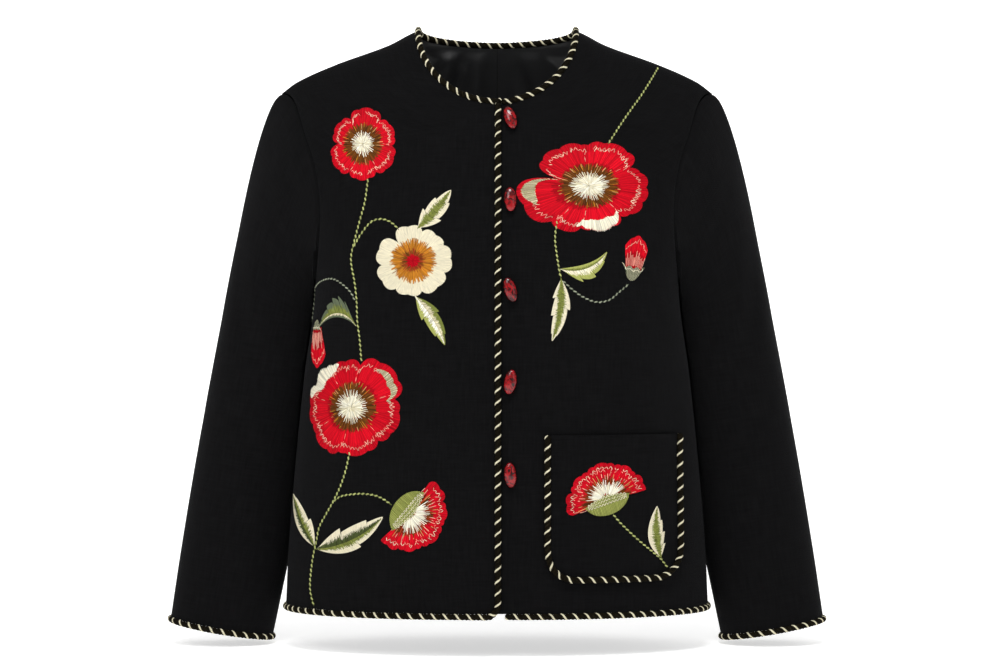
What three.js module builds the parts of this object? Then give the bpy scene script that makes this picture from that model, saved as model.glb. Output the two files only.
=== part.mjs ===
// A short collarless jacket in its worn shape with nobody in it: two fronts, a back, set-in
// sleeves, a patch pocket, a back lining at the neck, sewn-on cord and five oval buttons.
// Millimetres, +Z up. The front faces -Y and +X is the wearer's left. The origin is on the
// centre plane, level with the side neck points, where the wearer's shoulders carry it.
import * as THREE from 'three';

// ---- Driving dimensions ------------------------------------------------------------------
const CLOTH = 1.8;
const LINING_CLOTH = 1.0;
const SEAM_GAP = 0.3;
const HEM_Z = -574;
const UNDERARM_Z = -255;
const NECK_RADIUS = 81;
const NECK_POINT_Z = -3;
const FRONT_NECK_DROP = 79;
const BACK_NECK_DROP = 11;
const ROLL_START_Z = -230; // where the chest begins to lean back to the shoulder
const ROLL_ROUNDNESS = 2.4;

const ARMHOLE = { halfDepth: 57, fullness: 0.25, passes: 12 };
const FRONT_EDGE = { over: 1.5, under: -14, cornerRadius: 6 };
const LAP_EASE = 0.4;
const LAP = { depth: CLOTH + SEAM_GAP + LAP_EASE, flatTo: 6, endsAt: 28 };
const CORD = {
  radius: 3.2,
  sides: 8,
  proud: 0, // how far its centre line stands off the cloth's outer face
  proudOverLap: 1.3, // the same on the right front's edge, where it lies on the left front
  standsOff: 10, // it stands proud of the hem up to here from the edge, and lies flat from there
  liesFlat: 40,
  endGap: 0.8,
};
const POCKET = { left: 51, right: 175, top: -403, bottom: -539, cornerRadius: 24, cloth: 1.5 };
const POCKET_SAG = { depth: 2, power: 3 }; // how its mouth stands open, and how soon it closes
const BUTTON = { across: 13.5, tall: 26.5, deep: 8.5, x: 13, seat: 0.35, around: 14, down: 8 };
// Each button's height, and the degrees by which its top leans to the wearer's right.
const BUTTON_ROWS = [
  { z: -97, turn: 17 },
  { z: -177, turn: 2 },
  { z: -264, turn: 17 },
  { z: -352, turn: -9 },
  { z: -441, turn: 5 },
];

// Body sections: half-width, depth in front of and behind the side seam, and how square the
// oval is (2 is an ellipse). Above the underarm the width runs on past the armhole.
const BODY_SECTIONS = [
  { z: -574, halfWidth: 210.5, front: 116, back: 114, square: 2.2 },
  { z: -520, halfWidth: 208, front: 116, back: 111, square: 2.25 },
  { z: -440, halfWidth: 201.5, front: 115, back: 107, square: 2.3 },
  { z: -350, halfWidth: 192.5, front: 113, back: 106, square: 2.4 },
  { z: -255, halfWidth: 181, front: 109, back: 108, square: 2.65 },
  { z: -200, halfWidth: 193, front: 103, back: 107, square: 2.5 },
  { z: -140, halfWidth: 213, front: 93, back: 102, square: 2.3 },
  { z: -107, halfWidth: 221, front: 86, back: 98, square: 2.3 },
  { z: -65.5, halfWidth: 216, front: 78, back: 94, square: 2.3 },
  { z: 30, halfWidth: 200, front: 66, back: 90, square: 2.3 },
];

// The shoulder line: its height at each distance from the centre.
const SHOULDER_LINE = [
  { x: 0, z: 20 },
  { x: 81, z: -3 },
  { x: 109, z: -17 },
  { x: 161, z: -36 },
  { x: 199, z: -53 },
  { x: 216, z: -65.5 },
];

// Sleeve sections down the arm: centre, half-width, half-depth, and the slant of the section.
const SLEEVE_SECTIONS = [
  { step: 0, x: 222.5, y: 34, z: -300, halfWidth: 57, halfDepth: 52, slant: 9 },
  { step: 1, x: 237.5, y: 38, z: -380, halfWidth: 57.5, halfDepth: 50, slant: 9 },
  { step: 2, x: 252.5, y: 32, z: -460, halfWidth: 56, halfDepth: 46, slant: 9 },
  { step: 3, x: 266.5, y: 22, z: -540, halfWidth: 54, halfDepth: 42, slant: 9.5 },
  { step: 3.72, x: 276, y: 12, z: -597.5, halfWidth: 52, halfDepth: 39, slant: 10 },
];
// The sleeve head's curve, at the underarm and at the tip: how far it sets out from the armhole,
// outwards and down, and how long it is straight where it reaches the arm, leaning out.
const SLEEVE_HEAD = {
  out: { underarm: 6, tip: 64 },
  down: { underarm: 20, tip: 40 },
  straight: { underarm: 50, tip: 230 },
  lean: 0.17,
};
const SLEEVE_HEAD_STEPS = [0, 0.04, 0.1, 0.18, 0.28, 0.4, 0.54, 0.69, 0.85];
const SLEEVE_RINGS_BELOW = 8;
const SLEEVE_CLEARANCE = 2.0; // from the body's cloth, where the sleeve lies against it
const SLEEVE_FREE = { from: UNDERARM_Z + 35, to: UNDERARM_Z + 85 }; // it fades between these

// Cells of the cloth grids.
const ROWS_BELOW_UNDERARM = 9;
const ROWS_ABOVE = 14;
const FRONT_ROWS_TO_NECK = 7;
const BACK_ROWS_TO_NECK = 9;
const FRONT_COLUMNS = [0, 0.025, 0.05, 0.08, 0.12, 0.19, 0.28, 0.38, 0.49, 0.6, 0.71, 0.81, 0.91, 1];
const BACK_COLUMNS = [0, 0.1, 0.2, 0.3, 0.4, 0.5, 0.6, 0.7, 0.8, 0.9, 1];
const LINING_ROWS_FROM = 12;
const LINING_COLUMNS = 9;
const POCKET_ROWS = 6;
const POCKET_COLUMNS = [0, 0.035, 0.1, 0.19, 0.31, 0.44, 0.56, 0.69, 0.81, 0.9, 0.965, 1];
const SLOPE_STEP = 0.05; // half the distance over which a surface's slope is taken
const WELD_DIGITS = 4; // corners that agree to this many decimals are one

const FRONT = -1;
const BACK = 1;
const WEARERS_RIGHT = -1;
const WEARERS_LEFT = 1;

// ---- Small helpers -----------------------------------------------------------------------
const { clamp, degToRad, lerp, smoothstep } = THREE.MathUtils;

// A table's column at a key, along a smooth cubic through its rows.
function along(table, key, column, at) {
  const last = table.length - 1;
  const value = clamp(at, table[0][key], table[last][key]);
  const found = table.findIndex((row) => row[key] > value);
  const n = found < 0 ? last - 1 : found - 1;
  const slopeAt = (i) => {
    const before = table[Math.max(i - 1, 0)];
    const after = table[Math.min(i + 1, last)];
    return (after[column] - before[column]) / (after[key] - before[key]);
  };
  const span = table[n + 1][key] - table[n][key];
  const t = (value - table[n][key]) / span;
  const ends = (1 + 2 * t) * (1 - t) ** 2 * table[n][column] + t * t * (3 - 2 * t) * table[n + 1][column];
  const slopes = t * (1 - t) ** 2 * slopeAt(n) - t * t * (1 - t) * slopeAt(n + 1);
  return ends + slopes * span;
}

function signedPower(value, power) {
  return Math.sign(value) * Math.abs(value) ** power;
}

// ---- The body's surface ------------------------------------------------------------------
function sectionAt(z) {
  const column = (name) => along(BODY_SECTIONS, 'z', name, z);
  return {
    halfWidth: column('halfWidth'),
    [FRONT]: column('front'),
    [BACK]: column('back'),
    square: column('square'),
  };
}

function shoulderHeight(x) {
  return along(SHOULDER_LINE, 'x', 'z', Math.abs(x));
}

// 1 on the chest, falling to 0 at the shoulder line with a round turn.
function shoulderRoll(x, z) {
  const rise = clamp((z - ROLL_START_Z) / (shoulderHeight(x) - ROLL_START_Z), 0, 1);
  return (1 - rise ** ROLL_ROUNDNESS) ** (1 / ROLL_ROUNDNESS);
}

// Distance of the body's surface from the side seam's plane.
function bodyDepth(face, x, z) {
  const section = sectionAt(z);
  const across = Math.min(Math.abs(x) / section.halfWidth, 1);
  const round = (1 - across ** section.square) ** (1 / section.square);
  return section[face] * round * shoulderRoll(x, z);
}

// Outward normal. On the side and shoulder seams it lies in the seam's plane.
function bodyNormal(face, x, z) {
  const across = bodyDepth(face, x + SLOPE_STEP, z) - bodyDepth(face, x - SLOPE_STEP, z);
  const upwards = bodyDepth(face, x, z + SLOPE_STEP) - bodyDepth(face, x, z - SLOPE_STEP);
  const run = 2 * SLOPE_STEP;
  const onSeam = bodyDepth(face, x, z) < SEAM_GAP;
  return new THREE.Vector3(-across / run, onSeam ? 0 : face, -upwards / run).normalize();
}

// The body's half-width on the armhole, found by a few steps because the roll depends on it.
function armholePoint(face, turn) {
  const middle = (UNDERARM_Z + SHOULDER_LINE.at(-1).z) / 2;
  const z = middle + (UNDERARM_Z - middle) * Math.cos(turn);
  const y = ARMHOLE.halfDepth * Math.sin(turn) * (1 + ARMHOLE.fullness * Math.cos(turn));
  const section = sectionAt(z);
  let x = section.halfWidth;
  for (let pass = 0; pass < ARMHOLE.passes; pass += 1) {
    const reach = Math.max(section[face] * shoulderRoll(x, z), Number.EPSILON);
    const round = (1 - Math.min(y / reach, 1) ** section.square) ** (1 / section.square);
    x = y < SEAM_GAP ? section.halfWidth : (x + section.halfWidth * round) / 2;
  }
  return { x, z };
}

// ---- Cloth grids -------------------------------------------------------------------------
// The rows of a half panel, from hem to shoulder, each from its inner to its outer end.
function panelRows(face, edge) {
  const rows = [];
  for (let i = 0; i < ROWS_BELOW_UNDERARM; i += 1) {
    const z = lerp(HEM_Z, UNDERARM_Z, i / ROWS_BELOW_UNDERARM);
    rows.push({ inner: { x: edge, z }, outer: { x: sectionAt(z).halfWidth, z }, bow: 0 });
  }
  const toNeck = face === FRONT ? FRONT_ROWS_TO_NECK : BACK_ROWS_TO_NECK;
  const drop = face === FRONT ? FRONT_NECK_DROP : BACK_NECK_DROP;
  const neckZ = (turn) => NECK_POINT_Z - drop * Math.cos(turn);
  const start = Math.asin(edge / NECK_RADIUS);
  for (let i = 0; i <= ROWS_ABOVE; i += 1) {
    const turn = lerp(start, Math.PI / 2, Math.max(i - toNeck, 0) / (ROWS_ABOVE - toNeck));
    const neck = { x: NECK_RADIUS * Math.sin(turn), z: neckZ(turn) };
    const centre = { x: edge, z: lerp(UNDERARM_Z, neckZ(start), i / toNeck) };
    const outer = armholePoint(face, (Math.PI * i) / ROWS_ABOVE);
    rows.push({ inner: i < toNeck ? centre : neck, outer, bow: (i / ROWS_ABOVE) ** 2 });
  }
  return rows;
}

// How far the shoulder line stands above a straight line from the neck point to its tip.
function shoulderBow(x) {
  const tip = SHOULDER_LINE.at(-1);
  const straight = lerp(NECK_POINT_Z, tip.z, (x - NECK_RADIUS) / (tip.x - NECK_RADIUS));
  return x < NECK_RADIUS ? 0 : shoulderHeight(x) - straight;
}

// How far the hem rises at a panel's rounded lower corner.
function cornerRise(distance, radius) {
  const inside = clamp(radius - distance, 0, radius);
  return radius - Math.sqrt(radius ** 2 - inside ** 2);
}

// One row of points, spaced evenly by angle round the oval section.
function rowPoints(face, side, row, columns, lift) {
  const section = sectionAt(row.outer.z);
  const angle = (x) => Math.asin(clamp(signedPower(x / section.halfWidth, section.square / 2), -1, 1));
  const spread = (turn) => signedPower(Math.sin(turn), 2 / section.square);
  const first = angle(row.inner.x);
  const last = angle(row.outer.x);
  return columns.map((column) => {
    const here = spread(lerp(first, last, column));
    const share = clamp((here - spread(first)) / (spread(last) - spread(first)), 0, 1);
    const x = lerp(row.inner.x, row.outer.x, share);
    const straight = lerp(row.inner.z, row.outer.z, share);
    const z = straight + row.bow * shoulderBow(x) + lift(x - row.inner.x);
    const normal = bodyNormal(face, x, z);
    const point = new THREE.Vector3(x, face * bodyDepth(face, x, z), z);
    point.x *= side;
    normal.x *= side;
    return { point, normal };
  });
}

// A half panel of the body as a grid of { point, normal }, rows from hem to shoulder.
function halfPanel(face, side, edge, columns, cornerRadius = 0) {
  return panelRows(face, edge).map((row, i) => {
    const lift = (distance) => (i === 0 ? cornerRise(distance, cornerRadius) : 0);
    return rowPoints(face, side, row, columns, lift);
  });
}

// The left front dips behind the right front where they lap.
function lapUnder(grid) {
  for (const { point, normal } of grid.flat()) {
    const dip = LAP.depth * (1 - smoothstep(point.x, LAP.flatTo, LAP.endsAt));
    point.addScaledVector(normal, -dip);
  }
  return grid;
}

// ---- Sleeves -----------------------------------------------------------------------------
function sleeveRingPoint(step, angle) {
  const column = (name) => along(SLEEVE_SECTIONS, 'step', name, step);
  const slant = degToRad(column('slant'));
  const out = Math.cos(angle) * column('halfWidth');
  return new THREE.Vector3(
    column('x') + out * Math.cos(slant),
    column('y') + Math.sin(angle) * column('halfDepth'),
    column('z') + out * Math.sin(slant),
  );
}

// Moves a point of the sleeve out to the body's surface plus a clearance, which fades away
// up the armhole.
function clearOfBody(point) {
  const section = sectionAt(point.z);
  const face = point.y < 0 ? FRONT : BACK;
  const { from, to } = SLEEVE_FREE;
  const clearance = SLEEVE_CLEARANCE * (1 - smoothstep(point.z, from, to));
  const across = point.x / (section.halfWidth + clearance);
  const deep = Math.abs(point.y) / (section[face] + clearance);
  const reach = (across ** section.square + deep ** section.square) ** (1 / section.square);
  const inside = reach < 1 && point.z < to && point.z > HEM_Z;
  return inside ? point.multiply(new THREE.Vector3(1 / reach, 1 / reach, 1)) : point;
}

// The sleeve head: a cubic from the armhole to the first section of the arm.
function sleeveHeadPoint(start, angle, t) {
  const high = (1 + Math.cos(angle)) / 2;
  const end = sleeveRingPoint(0, angle);
  const between = ({ underarm, tip }) => lerp(underarm, tip, high);
  const leave = new THREE.Vector3(between(SLEEVE_HEAD.out), 0, -between(SLEEVE_HEAD.down));
  const arrive = new THREE.Vector3(SLEEVE_HEAD.lean, 0, -1);
  arrive.multiplyScalar(between(SLEEVE_HEAD.straight));
  return new THREE.Vector3()
    .addScaledVector(start, (1 + 2 * t) * (1 - t) ** 2)
    .addScaledVector(leave, t * (1 - t) ** 2)
    .addScaledVector(end, t * t * (3 - 2 * t))
    .addScaledVector(arrive, -t * t * (1 - t));
}

// Angles round the sleeve, from the underarm up the front, over the top and down the back.
function armholeRing() {
  const ring = [];
  for (let i = 0; i < 2 * ROWS_ABOVE; i += 1) {
    const face = i <= ROWS_ABOVE ? FRONT : BACK;
    const turn = (Math.PI * (face === FRONT ? i : 2 * ROWS_ABOVE - i)) / ROWS_ABOVE;
    const { x, z } = armholePoint(face, turn);
    const point = new THREE.Vector3(x, face * bodyDepth(face, x, z), z);
    ring.push({ point, normal: bodyNormal(face, x, z), angle: face * (Math.PI - turn) });
  }
  return ring;
}

function sleeveGrid(side) {
  const ring = armholeRing();
  const steps = SLEEVE_SECTIONS.at(-1).step;
  const rows = SLEEVE_HEAD_STEPS.map((t) => ring.map((p) => sleeveHeadPoint(p.point, p.angle, t)));
  for (let i = 0; i <= SLEEVE_RINGS_BELOW; i += 1) {
    rows.push(ring.map((p) => sleeveRingPoint((steps * i) / SLEEVE_RINGS_BELOW, p.angle)));
  }
  rows.slice(1).flat().forEach(clearOfBody);
  const grid = rows.map((row, i) => row.map((point, k) => ({ point, normal: gridNormal(rows, i, k) })));
  grid[0] = grid[0].map((cell, k) => sleeveSeam(ring, rows[1], k));
  for (const { point, normal } of grid.flat()) {
    point.x *= side;
    normal.x *= side;
  }
  return grid;
}

// Outward normal of a grid of rings at row i, place k.
function gridNormal(rows, i, k) {
  const count = rows[i].length;
  const down = rows[Math.min(i + 1, rows.length - 1)][k].clone().sub(rows[Math.max(i - 1, 0)][k]);
  const round = rows[i][(k + 1) % count].clone().sub(rows[i][(k + count - 1) % count]);
  return down.cross(round).normalize();
}

// The sleeve's seam edge: beside the armhole's edge, turned with the angle between them so
// that the two walls never cross.
function sleeveSeam(ring, next, k) {
  const count = ring.length;
  const { point, normal } = ring[k];
  const before = ring[(k + count - 1) % count].point;
  const round = ring[(k + 1) % count].point.clone().sub(before).normalize();
  const away = round.clone().cross(normal).normalize();
  const leave = next[k].clone().sub(point);
  const bend = Math.max(Math.atan2(leave.dot(normal), leave.dot(away)), 0);
  const seam = point.clone();
  seam.addScaledVector(away, SEAM_GAP * Math.cos(bend / 2));
  seam.addScaledVector(normal, SEAM_GAP * Math.sin(bend / 2));
  const turned = normal.clone().multiplyScalar(Math.cos(bend)).addScaledVector(away, -Math.sin(bend));
  return { point: seam, normal: turned };
}

// ---- Walls and cords as closed solids ----------------------------------------------------
// The cells of one or more grids, with points that coincide counted once.
function weldGrids(grids, closedRound = false) {
  const corners = [];
  const cells = [];
  const known = new Map();
  const indexOf = (corner) => {
    const key = corner.point.toArray().map((value) => value.toFixed(WELD_DIGITS)).join(' ');
    if (!known.has(key)) known.set(key, corners.push(corner) - 1);
    return known.get(key);
  };
  for (const grid of grids) {
    const places = grid.map((row) => row.map(indexOf));
    const spans = places[0].length - (closedRound ? 0 : 1);
    const gridCells = [];
    for (let i = 0; i + 1 < places.length; i += 1) {
      for (let k = 0; k < spans; k += 1) {
        const next = (k + 1) % places[i].length;
        gridCells.push([places[i][k], places[i][next], places[i + 1][next], places[i + 1][k]]);
      }
    }
    cells.push(...facingOut(gridCells, corners));
  }
  return { corners, cells };
}

// A grid's cells, all turned over if most of them face in.
function facingOut(cells, corners) {
  const facing = cells.map((cell) => {
    const [a, b, c, d] = cell.map((i) => corners[i].point);
    return c.clone().sub(a).cross(d.clone().sub(b)).dot(corners[cell[0]].normal);
  });
  const total = facing.reduce((sum, value) => sum + value, 0);
  return total < 0 ? cells.map((cell) => cell.slice().reverse()) : cells;
}

function geometryOf(points, triangles) {
  const geometry = new THREE.BufferGeometry().setFromPoints(points);
  geometry.setIndex(triangles);
  geometry.computeVertexNormals();
  return geometry;
}

const quad = (a, b, c, d) => [a, b, c, a, c, d];

// A wall of cloth: outer face through the grids' points (moved out by lift), inner face below.
function wall(grids, { cloth = CLOTH, lift = 0, closedRound = false, keep = (p) => p } = {}) {
  const { corners, cells } = weldGrids(grids, closedRound);
  const moved = ({ point, normal }, depth) => keep(point.clone().addScaledVector(normal, depth));
  const layer = (depth) => corners.map((corner) => moved(corner, depth));
  const count = corners.length;
  const edges = new Set(cells.flatMap((cell) => cell.map((a, i) => `${a} ${cell[(i + 1) % 4]}`)));
  const triangles = cells.flatMap(([a, b, c, d]) => [
    ...quad(a, b, c, d),
    ...quad(c + count, b + count, a + count, d + count),
  ]);
  for (const edge of edges) {
    const [a, b] = edge.split(' ').map(Number);
    if (!edges.has(`${b} ${a}`)) triangles.push(...quad(b, a, a + count, b + count));
  }
  return geometryOf([...layer(lift), ...layer(lift - cloth)], triangles);
}

// A cord through stations, each with a centre and two unit directions across it.
function cordSolid(stations, closed = false) {
  const { radius, sides } = CORD;
  const points = stations.flatMap(({ centre, beside, out }) => {
    const turns = Array.from({ length: sides }, (_, i) => (2 * Math.PI * (i + 0.5)) / sides);
    return turns.map((turn) => centre.clone()
      .addScaledVector(beside, radius * Math.cos(turn))
      .addScaledVector(out, radius * Math.sin(turn)));
  });
  const triangles = [];
  const spans = stations.length - (closed ? 0 : 1);
  for (let i = 0; i < spans; i += 1) {
    const here = i * sides;
    const there = ((i + 1) % stations.length) * sides;
    for (let k = 0; k < sides; k += 1) {
      const next = (k + 1) % sides;
      triangles.push(...quad(here + k, there + k, there + next, here + next));
    }
  }
  const end = (stations.length - 1) * sides;
  for (let k = 1; k + 1 < sides && !closed; k += 1) {
    triangles.push(0, k, k + 1);
    triangles.push(end, end + k + 1, end + k);
  }
  return geometryOf(points, triangles);
}

// Stations of a cord sewn beside an edge. The edge is a run of { point, normal }, taken so
// that the cloth lies on its left seen from outside.
function besideEdge(edge, { closed = false, proud = CORD.proud } = {}) {
  const count = edge.length;
  const at = (i) => edge[closed ? (i + count) % count : clamp(i, 0, count - 1)].point;
  return edge.map(({ point, normal, proud: ownProud = proud }, i) => {
    const forward = at(i + 1).clone().sub(at(i - 1)).normalize();
    const beside = forward.clone().cross(normal).normalize();
    const out = beside.clone().cross(forward).normalize();
    const centre = point.clone()
      .addScaledVector(beside, CORD.radius + SEAM_GAP)
      .addScaledVector(normal, ownProud);
    return { centre, beside, out };
  });
}

// ---- The pocket --------------------------------------------------------------------------
function pocketGrid() {
  const { left, right, top, bottom, cornerRadius } = POCKET;
  const grid = [];
  for (let i = 0; i <= POCKET_ROWS; i += 1) {
    const rise = i / POCKET_ROWS;
    grid.push(POCKET_COLUMNS.map((column) => {
      const x = lerp(left, right, column);
      const floor = bottom + cornerRise(Math.min(x - left, right - x), cornerRadius);
      const z = lerp(floor, top, rise);
      const normal = bodyNormal(FRONT, x, z);
      const open = POCKET_SAG.depth * rise ** POCKET_SAG.power * Math.sin(Math.PI * column);
      const point = new THREE.Vector3(x, -bodyDepth(FRONT, x, z), z).addScaledVector(normal, open);
      return { point, normal };
    }));
  }
  return grid;
}

// ---- Edges that carry cord ---------------------------------------------------------------
// The front neckline, run on past the right front's edge to the wearer's left.
function neckEdgePoint(x) {
  const z = NECK_POINT_Z - FRONT_NECK_DROP * Math.sqrt(1 - (x / NECK_RADIUS) ** 2);
  const point = new THREE.Vector3(-x, -bodyDepth(FRONT, x, z), z);
  return { point, normal: bodyNormal(FRONT, x, z) };
}

// The part of a run of { point, normal } past the place where x rises through a value.
function fromX(run, x) {
  const n = run.findIndex(({ point }) => point.x > x);
  const [before, after] = [run[n - 1], run[n]];
  const share = (x - before.point.x) / (after.point.x - before.point.x);
  const point = before.point.clone().lerp(after.point, share);
  return [{ point, normal: after.normal }, ...run.slice(n)];
}

// ---- Assembly ----------------------------------------------------------------------------
const FINISHES = {
  cloth: { color: 0x131314, roughness: 0.95, metalness: 0 },
  satin: { color: 0x0c0c0e, roughness: 0.45, metalness: 0 },
  cord: { color: 0x6b6040, roughness: 0.7, metalness: 0 },
  gloss: { color: 0x8e0c16, roughness: 0.15, metalness: 0 },
};

const jacket = new THREE.Group();
jacket.name = 'embroidered_jacket';

function add(name, geometry, finish) {
  const mesh = new THREE.Mesh(geometry, new THREE.MeshStandardMaterial(FINISHES[finish]));
  mesh.name = name;
  jacket.add(mesh);
  return mesh;
}

const gridRight = halfPanel(FRONT, WEARERS_RIGHT, FRONT_EDGE.over, FRONT_COLUMNS, FRONT_EDGE.cornerRadius);
const gridLeft = lapUnder(halfPanel(FRONT, WEARERS_LEFT, FRONT_EDGE.under, FRONT_COLUMNS));
const gridBack = [WEARERS_RIGHT, WEARERS_LEFT].map((side) => halfPanel(BACK, side, 0, BACK_COLUMNS));

function beforeSeam(point) {
  point.y = Math.min(point.y, -SEAM_GAP / 2);
  return point;
}

function behindSeam(point) {
  point.y = Math.max(point.y, SEAM_GAP / 2);
  return point;
}

add('front_right', wall([gridRight], { keep: beforeSeam }), 'cloth');
add('front_left', wall([gridLeft], { keep: beforeSeam }), 'cloth');
add('back', wall(gridBack, { keep: behindSeam }), 'cloth');

function addSleeve(name, side) {
  const grid = sleeveGrid(side);
  add(`sleeve_${name}`, wall([grid], { closedRound: true }), 'cloth');
  const cuff = side === WEARERS_RIGHT ? grid.at(-1).slice().reverse() : grid.at(-1);
  add(`cord_cuff_${name}`, cordSolid(besideEdge(cuff, { closed: true }), true), 'cord');
}

addSleeve('right', WEARERS_RIGHT);
addSleeve('left', WEARERS_LEFT);

function addLining(name, grid, side) {
  const part = grid.slice(LINING_ROWS_FROM).map((row) => row.slice(0, LINING_COLUMNS));
  const keep = (point) => {
    point.x = side * Math.max(side * point.x, SEAM_GAP / 2);
    return behindSeam(point);
  };
  const lift = -CLOTH - SEAM_GAP;
  add(`lining_back_${name}`, wall([part], { cloth: LINING_CLOTH, lift, keep }), 'satin');
}

addLining('right', gridBack[0], WEARERS_RIGHT);
addLining('left', gridBack[1], WEARERS_LEFT);

const pocket = pocketGrid();
const pocketLift = POCKET.cloth + SEAM_GAP;
add('pocket', wall([pocket], { cloth: POCKET.cloth, lift: pocketLift }), 'cloth');

function addPocketCord() {
  const down = pocket.map((row) => row[0]).reverse();
  const up = pocket.map((row) => row.at(-1)).slice(1);
  const edge = [...down, ...pocket[0].slice(1), ...up];
  const proud = CORD.radius + SEAM_GAP;
  add('cord_pocket', cordSolid(besideEdge(edge, { proud })), 'cord');
}

function addNeckCord() {
  const neck = (grid, rowsToNeck) => grid.slice(ROWS_BELOW_UNDERARM + rowsToNeck).map((row) => row[0]);
  const start = neckEdgePoint(-FRONT_EDGE.over - CORD.radius);
  const right = neck(gridRight, FRONT_ROWS_TO_NECK);
  const backRight = neck(gridBack[0], BACK_ROWS_TO_NECK).slice(0, -1).reverse();
  const backLeft = neck(gridBack[1], BACK_ROWS_TO_NECK).slice(1);
  const left = fromX(neck(gridLeft, FRONT_ROWS_TO_NECK), start.point.x + SEAM_GAP);
  const edge = [start, ...right, ...backRight, ...backLeft, ...left.slice(0, -1).reverse()];
  add('cord_neck', cordSolid(besideEdge(edge)), 'cord');
}

function addFrontAndHemCords() {
  const rightHemPlace = ({ point, normal }) => {
    const short = point.clone();
    short.y = Math.min(point.y, -CORD.endGap);
    const nearEdge = 1 - smoothstep(-point.x, CORD.standsOff, CORD.liesFlat);
    return { point: short, normal, proud: nearEdge * CORD.proudOverLap };
  };
  const downRows = gridRight.slice(0, ROWS_BELOW_UNDERARM + FRONT_ROWS_TO_NECK + 1);
  const down = downRows.map(([cell]) => ({ ...cell, proud: CORD.proudOverLap }));
  const hem = gridRight[0].slice(1).map(rightHemPlace).reverse();
  add('cord_front_edge', cordSolid(besideEdge([...hem, ...down])), 'cord');
  const left = fromX(gridLeft[0], FRONT_EDGE.over + 2 * CORD.radius);
  const back = [...gridBack[1][0].slice(0, -1).reverse(), ...gridBack[0][0].slice(1)];
  add('cord_hem', cordSolid(besideEdge([...left, ...back])), 'cord');
}

addPocketCord();
addNeckCord();
addFrontAndHemCords();

const ball = new THREE.SphereGeometry(0.5, BUTTON.around, BUTTON.down);

BUTTON_ROWS.forEach(({ z, turn }, i) => {
  const button = add(`button_${i + 1}`, ball.clone(), 'gloss');
  const normal = bodyNormal(FRONT, BUTTON.x, z);
  const dip = LAP.depth * (1 - smoothstep(BUTTON.x, LAP.flatTo, LAP.endsAt));
  button.scale.set(BUTTON.across, BUTTON.deep, BUTTON.tall);
  button.quaternion.setFromUnitVectors(new THREE.Vector3(0, -1, 0), normal);
  button.rotateY(-degToRad(turn));
  button.position.set(BUTTON.x, -bodyDepth(FRONT, BUTTON.x, z), z);
  button.position.addScaledVector(normal, BUTTON.deep / 2 + BUTTON.seat - dip);
});

export default jacket;
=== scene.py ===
"""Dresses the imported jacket: woven cloth shells, satin lining, twisted cord, oval buttons and
thread-by-thread embroidery. Sizes are millimetres until they reach a mesh, +Z up, front to -Y."""
import math

import bpy
import numpy as np
from bpy.props import FloatProperty, FloatVectorProperty, PointerProperty
from mathutils import Matrix, Vector


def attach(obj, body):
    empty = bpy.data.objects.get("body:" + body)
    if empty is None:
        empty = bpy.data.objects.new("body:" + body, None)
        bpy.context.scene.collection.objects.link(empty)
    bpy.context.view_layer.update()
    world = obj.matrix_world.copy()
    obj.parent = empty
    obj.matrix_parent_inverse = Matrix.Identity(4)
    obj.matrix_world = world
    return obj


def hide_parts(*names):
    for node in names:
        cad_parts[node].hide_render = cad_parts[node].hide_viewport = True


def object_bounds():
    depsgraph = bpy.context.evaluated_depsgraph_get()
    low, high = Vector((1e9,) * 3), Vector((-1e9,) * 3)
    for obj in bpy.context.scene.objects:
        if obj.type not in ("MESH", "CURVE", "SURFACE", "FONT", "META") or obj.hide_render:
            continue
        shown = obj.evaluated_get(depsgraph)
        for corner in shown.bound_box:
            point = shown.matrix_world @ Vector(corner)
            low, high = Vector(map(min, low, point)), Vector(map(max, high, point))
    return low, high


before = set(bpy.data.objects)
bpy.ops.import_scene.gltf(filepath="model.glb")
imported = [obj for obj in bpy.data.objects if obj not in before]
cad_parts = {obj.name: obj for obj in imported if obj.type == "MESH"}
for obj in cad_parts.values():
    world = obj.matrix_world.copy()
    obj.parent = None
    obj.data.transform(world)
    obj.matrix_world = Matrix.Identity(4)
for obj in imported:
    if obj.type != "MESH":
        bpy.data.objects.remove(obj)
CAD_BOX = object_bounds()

bl_info = {
    "name": "Embroidered Jacket",
    "version": (1, 0, 0),
    "blender": (4, 5, 0),
    "location": "View3D > Sidebar > Jacket",
    "description": "Cloth, cord, buttons and embroidery of a short collarless jacket",
    "category": "Object",
}

MM = 0.001
FRONT, BACK = -1, 1
WEARERS_RIGHT, WEARERS_LEFT = -1, 1

# ---- Sizes shared with the solids --------------------------------------------------------
CLOTH = 1.8
LINING_CLOTH = 1.0
SEAM_GAP = 0.3
HEM_Z = -574.0
UNDERARM_Z = -255.0
NECK_RADIUS = 81.0
NECK_POINT_Z = -3.0
NECK_DROP = {FRONT: 79.0, BACK: 11.0}
ROLL_START_Z = -230.0
ROLL_ROUNDNESS = 2.4
ARMHOLE_HALF_DEPTH = 57.0
ARMHOLE_FULLNESS = 0.25
EDGE_OVER, EDGE_UNDER = 1.5, -14.0
EDGE_CORNER, CORNER_FADES_OVER = 6.0, 40.0
LAP_DEPTH, LAP_FLAT_TO, LAP_ENDS_AT = CLOTH + SEAM_GAP + 0.4, 6.0, 28.0
CORD_RADIUS = 3.2
CORD_PROUD_OVER_LAP, CORD_STANDS_OFF, CORD_LIES_FLAT, CORD_END_GAP = 1.3, 10.0, 40.0, 0.8
POCKET_LEFT, POCKET_RIGHT, POCKET_TOP, POCKET_BOTTOM = 51.0, 175.0, -403.0, -539.0
POCKET_CORNER, POCKET_CLOTH, POCKET_SAG = 24.0, 1.5, 2.0
BUTTON_X, BUTTON_SEAT = 13.0, 0.35
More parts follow.
